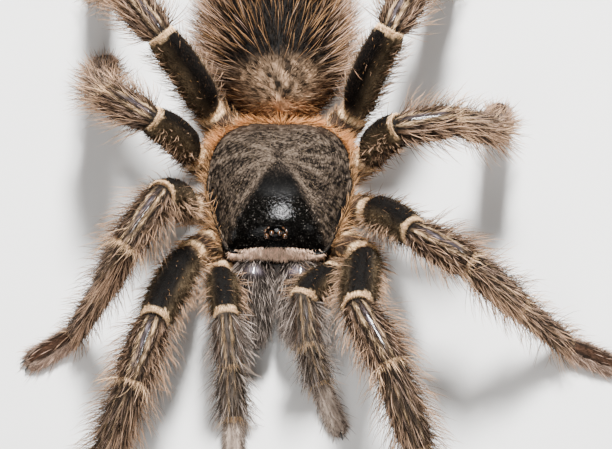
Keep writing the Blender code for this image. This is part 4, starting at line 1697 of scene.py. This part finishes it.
CHELICERA_PATH = (
    (2.5, -9.3, 7.6), (3.0, -11.6, 7.8), (3.0, -14.0, 7.4),
    (2.85, -16.4, 6.6), (2.65, -18.5, 5.5), (2.5, -19.7, 4.8),
)  # fmt: skip
CHELICERA_SIZE = ((2.1, 1.9), (2.8, 2.6), (2.8, 2.7), (2.55, 2.5), (2.1, 2.1), (1.3, 1.3))
FANG_PATH = (
    (2.45, -19.3, 2.75), (2.5, -18.3, 1.9), (2.5, -16.6, 1.5),
    (2.4, -14.8, 1.55), (2.2, -13.2, 2.0), (2.0, -12.2, 2.6),
)  # fmt: skip
FANG_SIZE = ((0.75, 0.7), (0.72, 0.65), (0.6, 0.55), (0.45, 0.42), (0.3, 0.28), (0.12, 0.12))
PEDICEL_PATH = ((0.0, 8.0, 6.7), (0.0, 9.6, 7.1), (0.0, 11.2, 7.4), (-0.1, 12.9, 7.6))
PEDICEL_SIZE = ((1.4, 1.3), (1.2, 1.2), (1.2, 1.2), (1.4, 1.4))
SPINNERET_PATH = ((1.7, -1.6, -2.1), (2.1, 1.6, -1.8), (2.5, 4.4, -1.2), (2.8, 7.0, -0.2))
SPINNERET_SIZE = ((1.0, 0.9), (0.95, 0.85), (0.75, 0.7), (0.35, 0.35))


class Trunk:
    """Everything of the body but its limbs."""

    def __init__(self) -> None:
        """Lays out its surfaces; the spinnerets start at the abdomen's rear end."""
        self.abdomen, self.carapace, self.sternum = Abdomen(), Carapace(), Sternum()
        self.pedicel = Tube(PEDICEL_PATH, PEDICEL_SIZE, shrink=0.1)
        tail = self.abdomen.points(np.ones(2), np.array((0.0, math.pi))).mean(axis=0) - BODY
        self.chelicerae, self.fangs, self.spinnerets = [], [], []
        for mirror in MIRRORS.values():
            self.chelicerae.append(Chelicera(CHELICERA_PATH, CHELICERA_SIZE, mirror, shrink=0.25))
            self.fangs.append(Tube(FANG_PATH, FANG_SIZE, mirror, Hue.VELVET))
            path = np.array(SPINNERET_PATH) * (mirror, 1, 1) + tail
            self.spinnerets.append(Tube(path, SPINNERET_SIZE, shrink=0.12))


def add_piece(
    name: str, shape: Shape, material: bpy.types.Material, nodes: Sequence[str]
) -> None:
    """Makes an object of a shape, hides the CAD nodes that it stands for, and logs its size.

    Args:
        name: The object's name.
        shape: Its mesh.
        material: Its only material.
        nodes: The CAD nodes that it replaces.
    """
    piece = bpy.data.objects.new(name, shape.to_mesh(name))
    bpy.context.scene.collection.objects.link(piece)
    piece.data.materials.append(material)
    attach(piece, "root")
    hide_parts(*nodes)
    log.info("%s: %d triangles", name, len(shape.triangles))


def pair(name: str) -> list[str]:
    """The CAD nodes of a part that both sides have."""
    return [f"{name}_{side}" for side in MIRRORS]


class Tarantula:
    """The whole animal, from its skin outwards."""

    RING_STEP = 0.32  # how far apart the rings of a limb's skin stand
    FIRST_SEED = 100  # of the limbs' coats
    TRUNK_SEED = 200

    def __init__(self) -> None:
        """Lays out the trunk and the limbs, and makes the materials."""
        self.trunk = Trunk()
        plate = self.trunk.carapace
        self.limbs = [Limb(kind, side, plate) for side in MIRRORS for kind in HIP_ROOTS]
        self.skin, self.coat, self.plate, self.horn, self.lens = (
            finish.build() for finish in (SKIN_FINISH, COAT_FINISH, PLATE_FINISH, HORN_FINISH, EYE_FINISH)
        )

    def build_skin(self) -> None:
        """One skin for all flesh: limbs, sternum, waist, abdomen, jaw bases and spinnerets."""
        trunk = self.trunk
        tubes = [trunk.pedicel, *trunk.chelicerae, *trunk.spinnerets]
        charts = iter(Chart.grid(len(self.limbs) + len(tubes) + 2))
        shapes = []
        for limb in self.limbs:
            rings = np.linspace(0.0, limb.end, int(limb.lengths.sum() / self.RING_STEP))
            shapes.append(limb.shell(rings, 36, next(charts)))
        shapes += [tube.shell(np.linspace(0, 1, 56), 40, next(charts)) for tube in tubes]
        shapes.append(trunk.sternum.shell(np.linspace(0, 1, 40), 64, next(charts)))
        rings = (1 - np.cos(np.linspace(0, math.pi, 110))) / 2
        shapes.append(trunk.abdomen.shell(rings, 110, next(charts)))
        nodes = ["prosoma_underside", "pedicel", "abdomen", *pair("chelicera"), *pair("spinneret")]
        nodes += [node for limb in self.limbs for node in limb.nodes]
        add_piece("skin", join(shapes), self.skin, nodes)

    def build_plate(self) -> None:
        """The carapace and the eye mound with its lenses."""
        u = np.linspace(0, 1, 120)
        s = np.concatenate([1 - (1 - u) ** 1.6, np.linspace(1.01, 1.1, 5), np.linspace(1.2, 1.97, 14)])
        shape = self.trunk.carapace.shell(s, 180, Chart())
        add_piece("carapace_plate", shape, self.plate, ["carapace"])
        mound, lenses = Eyes().shapes()
        add_piece("eye_mound", mound, self.plate, ["eye_tubercle"])
        add_piece("eye_lenses", lenses, self.lens, ["eye_tubercle"])

    def build_horn(self) -> None:
        """The folded fangs under the jaw bases, and the claws at the end of every foot."""
        claws = [claw for limb in self.limbs for claw in limb.claws()]
        feet = [limb.nodes[-1] for limb in self.limbs]
        for name, hooks, rings, around, nodes in (
            ("fangs", self.trunk.fangs, 60, 24, pair("fang")),
            ("claws", claws, 14, 10, feet),
        ):
            charts = Chart.grid(len(claws))
            s = np.linspace(0, 1, rings)
            shape = join(hook.shell(s, around, chart) for hook, chart in zip(hooks, charts))
            shape.gloss[:] = 1.0
            shape.hue[:] = Hue.VELVET.linear
            add_piece(name, shape, self.horn, nodes)

    def build_coats(self) -> None:
        """The hair, one piece for each limb and part of the trunk."""
        for number, limb in enumerate(self.limbs):
            shape = LimbCoat(limb, np.random.default_rng(self.FIRST_SEED + number)).shape()
            add_piece(f"coat_{limb.kind}_{limb.side}", shape, self.coat, limb.nodes)
        trunk, seeded = self.trunk, [np.random.default_rng(self.TRUNK_SEED + part) for part in range(4)]
        abdomen = AbdomenCoat(trunk.abdomen, seeded[0], 140, 120).shape()
        add_piece("coat_abdomen", abdomen, self.coat, ["abdomen"])
        carapace = CarapaceCoat(trunk.carapace, seeded[1], 420, 180).shape()
        add_piece("coat_carapace", carapace, self.coat, ["carapace"])
        jaw_layers = (
            Layer(42, (0.5, 1.0), (8, 28), 0.036, 0.0, 16, 1, Hue.PALE_GREY, 0.08, 0.3, 0.7),
            Layer(8.0, (1.2, 2.4), (14, 38), 0.034, 0.2, 12, 2, Hue.PALE_GREY, 0.5, 0.15, 0.7),
            Layer(1.6, (2.0, 3.4), (12, 32), 0.034, 0.3, 9, 3, Hue.PALE_GREY, 0.85, 0.15, 0.5),
        )
        jaws = join(Coat(jaw, seeded[2]).plain(*jaw_layers) for jaw in trunk.chelicerae)
        add_piece("coat_chelicerae", jaws, self.coat, pair("chelicera"))
        plain = (velvet(12, 0.9), bristles(1.6, (1.0, 1.8), Hue.TAUPE))
        tawny = (velvet(20, 0.9, Hue.RUST, 0.6), bristles(12, (1.2, 2.2), Hue.ORANGE))
        rng = seeded[3]
        under = join([Coat(trunk.sternum, rng).plain(*plain), Coat(trunk.pedicel, rng).plain(*tawny)])
        add_piece("coat_underside", under, self.coat, ["prosoma_underside", "pedicel"])
        tails = join(Coat(tail, rng).plain(*plain) for tail in trunk.spinnerets)
        add_piece("coat_spinnerets", tails, self.coat, pair("spinneret"))


# ---------------------------------------------------------------- studio


@dataclass(frozen=True)
class Studio:
    """Camera, floor and lights. Places are in millimetres, the camera's from the prosoma's middle."""

    target: Point = (3.62, -4.05, 8.0)
    elevation: float = 58.13
    azimuth: float = 3.26
    roll: float = -2.16
    distance: float = 330.0
    lens: float = 148.3
    floor_colour: Point = (0.80, 0.79, 0.77)
    lamps: tuple[tuple[str, Point, tuple[float, float], float], ...] = (
        ("key", (25, 195, 400), (40, 130), 8.8),
        ("front", (-120, -420, 380), (260, 260), 2.4),
        ("side", (420, -60, 260), (260, 260), 0.9),
    )

    def build_camera(self) -> None:
        """The camera above and in front of the animal."""
        elevation, azimuth, roll = map(math.radians, (self.elevation, self.azimuth, self.roll))
        level = math.cos(elevation)
        back = Vector((math.sin(azimuth) * level, -math.cos(azimuth) * level, math.sin(elevation)))
        side = Vector((0, 0, 1)).cross(back).normalized()
        above = back.cross(side)
        right = math.cos(roll) * side + math.sin(roll) * above
        top = -math.sin(roll) * side + math.cos(roll) * above
        data = bpy.data.cameras.new("camera")
        data.lens, data.sensor_width = self.lens, 36.0
        data.clip_start, data.clip_end = 0.01, 10.0
        camera = bpy.data.objects.new("camera", data)
        turn = Matrix((right, top, back)).transposed().to_4x4()
        spot = Vector(BODY + np.array(self.target)) + back * self.distance
        camera.matrix_world = Matrix.Translation(spot * MM) @ turn
        bpy.context.scene.collection.objects.link(camera)
        bpy.context.scene.camera = camera

    def build_lamp(self, name: str, spot: Point, size: tuple[float, float], watts: float) -> None:
        """A rectangular lamp that looks at the animal.

        Args:
            name: Its name.
            spot: Where it hangs.
            size: Its two sides.
            watts: Its power.
        """
        data = bpy.data.lights.new(name, "AREA")
        data.shape = "RECTANGLE"
        data.size, data.size_y = (side * MM for side in size)
        data.energy = watts
        lamp = bpy.data.objects.new(name, data)
        lamp.location = Vector(spot) * MM
        lamp.rotation_euler = (-lamp.location).to_track_quat("-Z", "Y").to_euler()
        bpy.context.scene.collection.objects.link(lamp)

    def build(self) -> None:
        """Camera, pale floor, one key lamp, two fills and an even sky."""
        self.build_camera()
        for lamp in self.lamps:
            self.build_lamp(*lamp)
        bpy.ops.mesh.primitive_plane_add(size=3.0)
        floor = bpy.context.object
        floor.name = "floor"
        paint = {"Base Color": (*self.floor_colour, 1.0), "Roughness": 0.9}
        floor.data.materials.append(Shader("pale_floor").finish(paint))
        floor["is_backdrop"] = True
        world = bpy.data.worlds.new("studio")
        bpy.context.scene.world = world
        world.use_nodes = True
        sky = world.node_tree.nodes["Background"].inputs
        sky["Color"].default_value = (1.0, 1.0, 1.0, 1.0)
        sky["Strength"].default_value = 0.1


def write_sizes() -> None:
    """Sets the frame's box and the finished model's box side by side, in a dict that is not kept."""

    def plain(box: Sequence[Sequence[float]]) -> list[list[float]]:
        return [[float(value) for value in corner] for corner in box]

    {"frame": plain(FRAME_BOX), "visual": plain(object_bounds())}


def main() -> None:
    """Builds the studio, then the animal from the skin outwards."""
    logging.basicConfig(level=logging.INFO, format="%(message)s")
    Studio().build()
    animal = Tarantula()
    animal.build_skin()
    animal.build_plate()
    animal.build_horn()
    animal.build_coats()
    write_sizes()


if __name__ == "__main__":
    main()
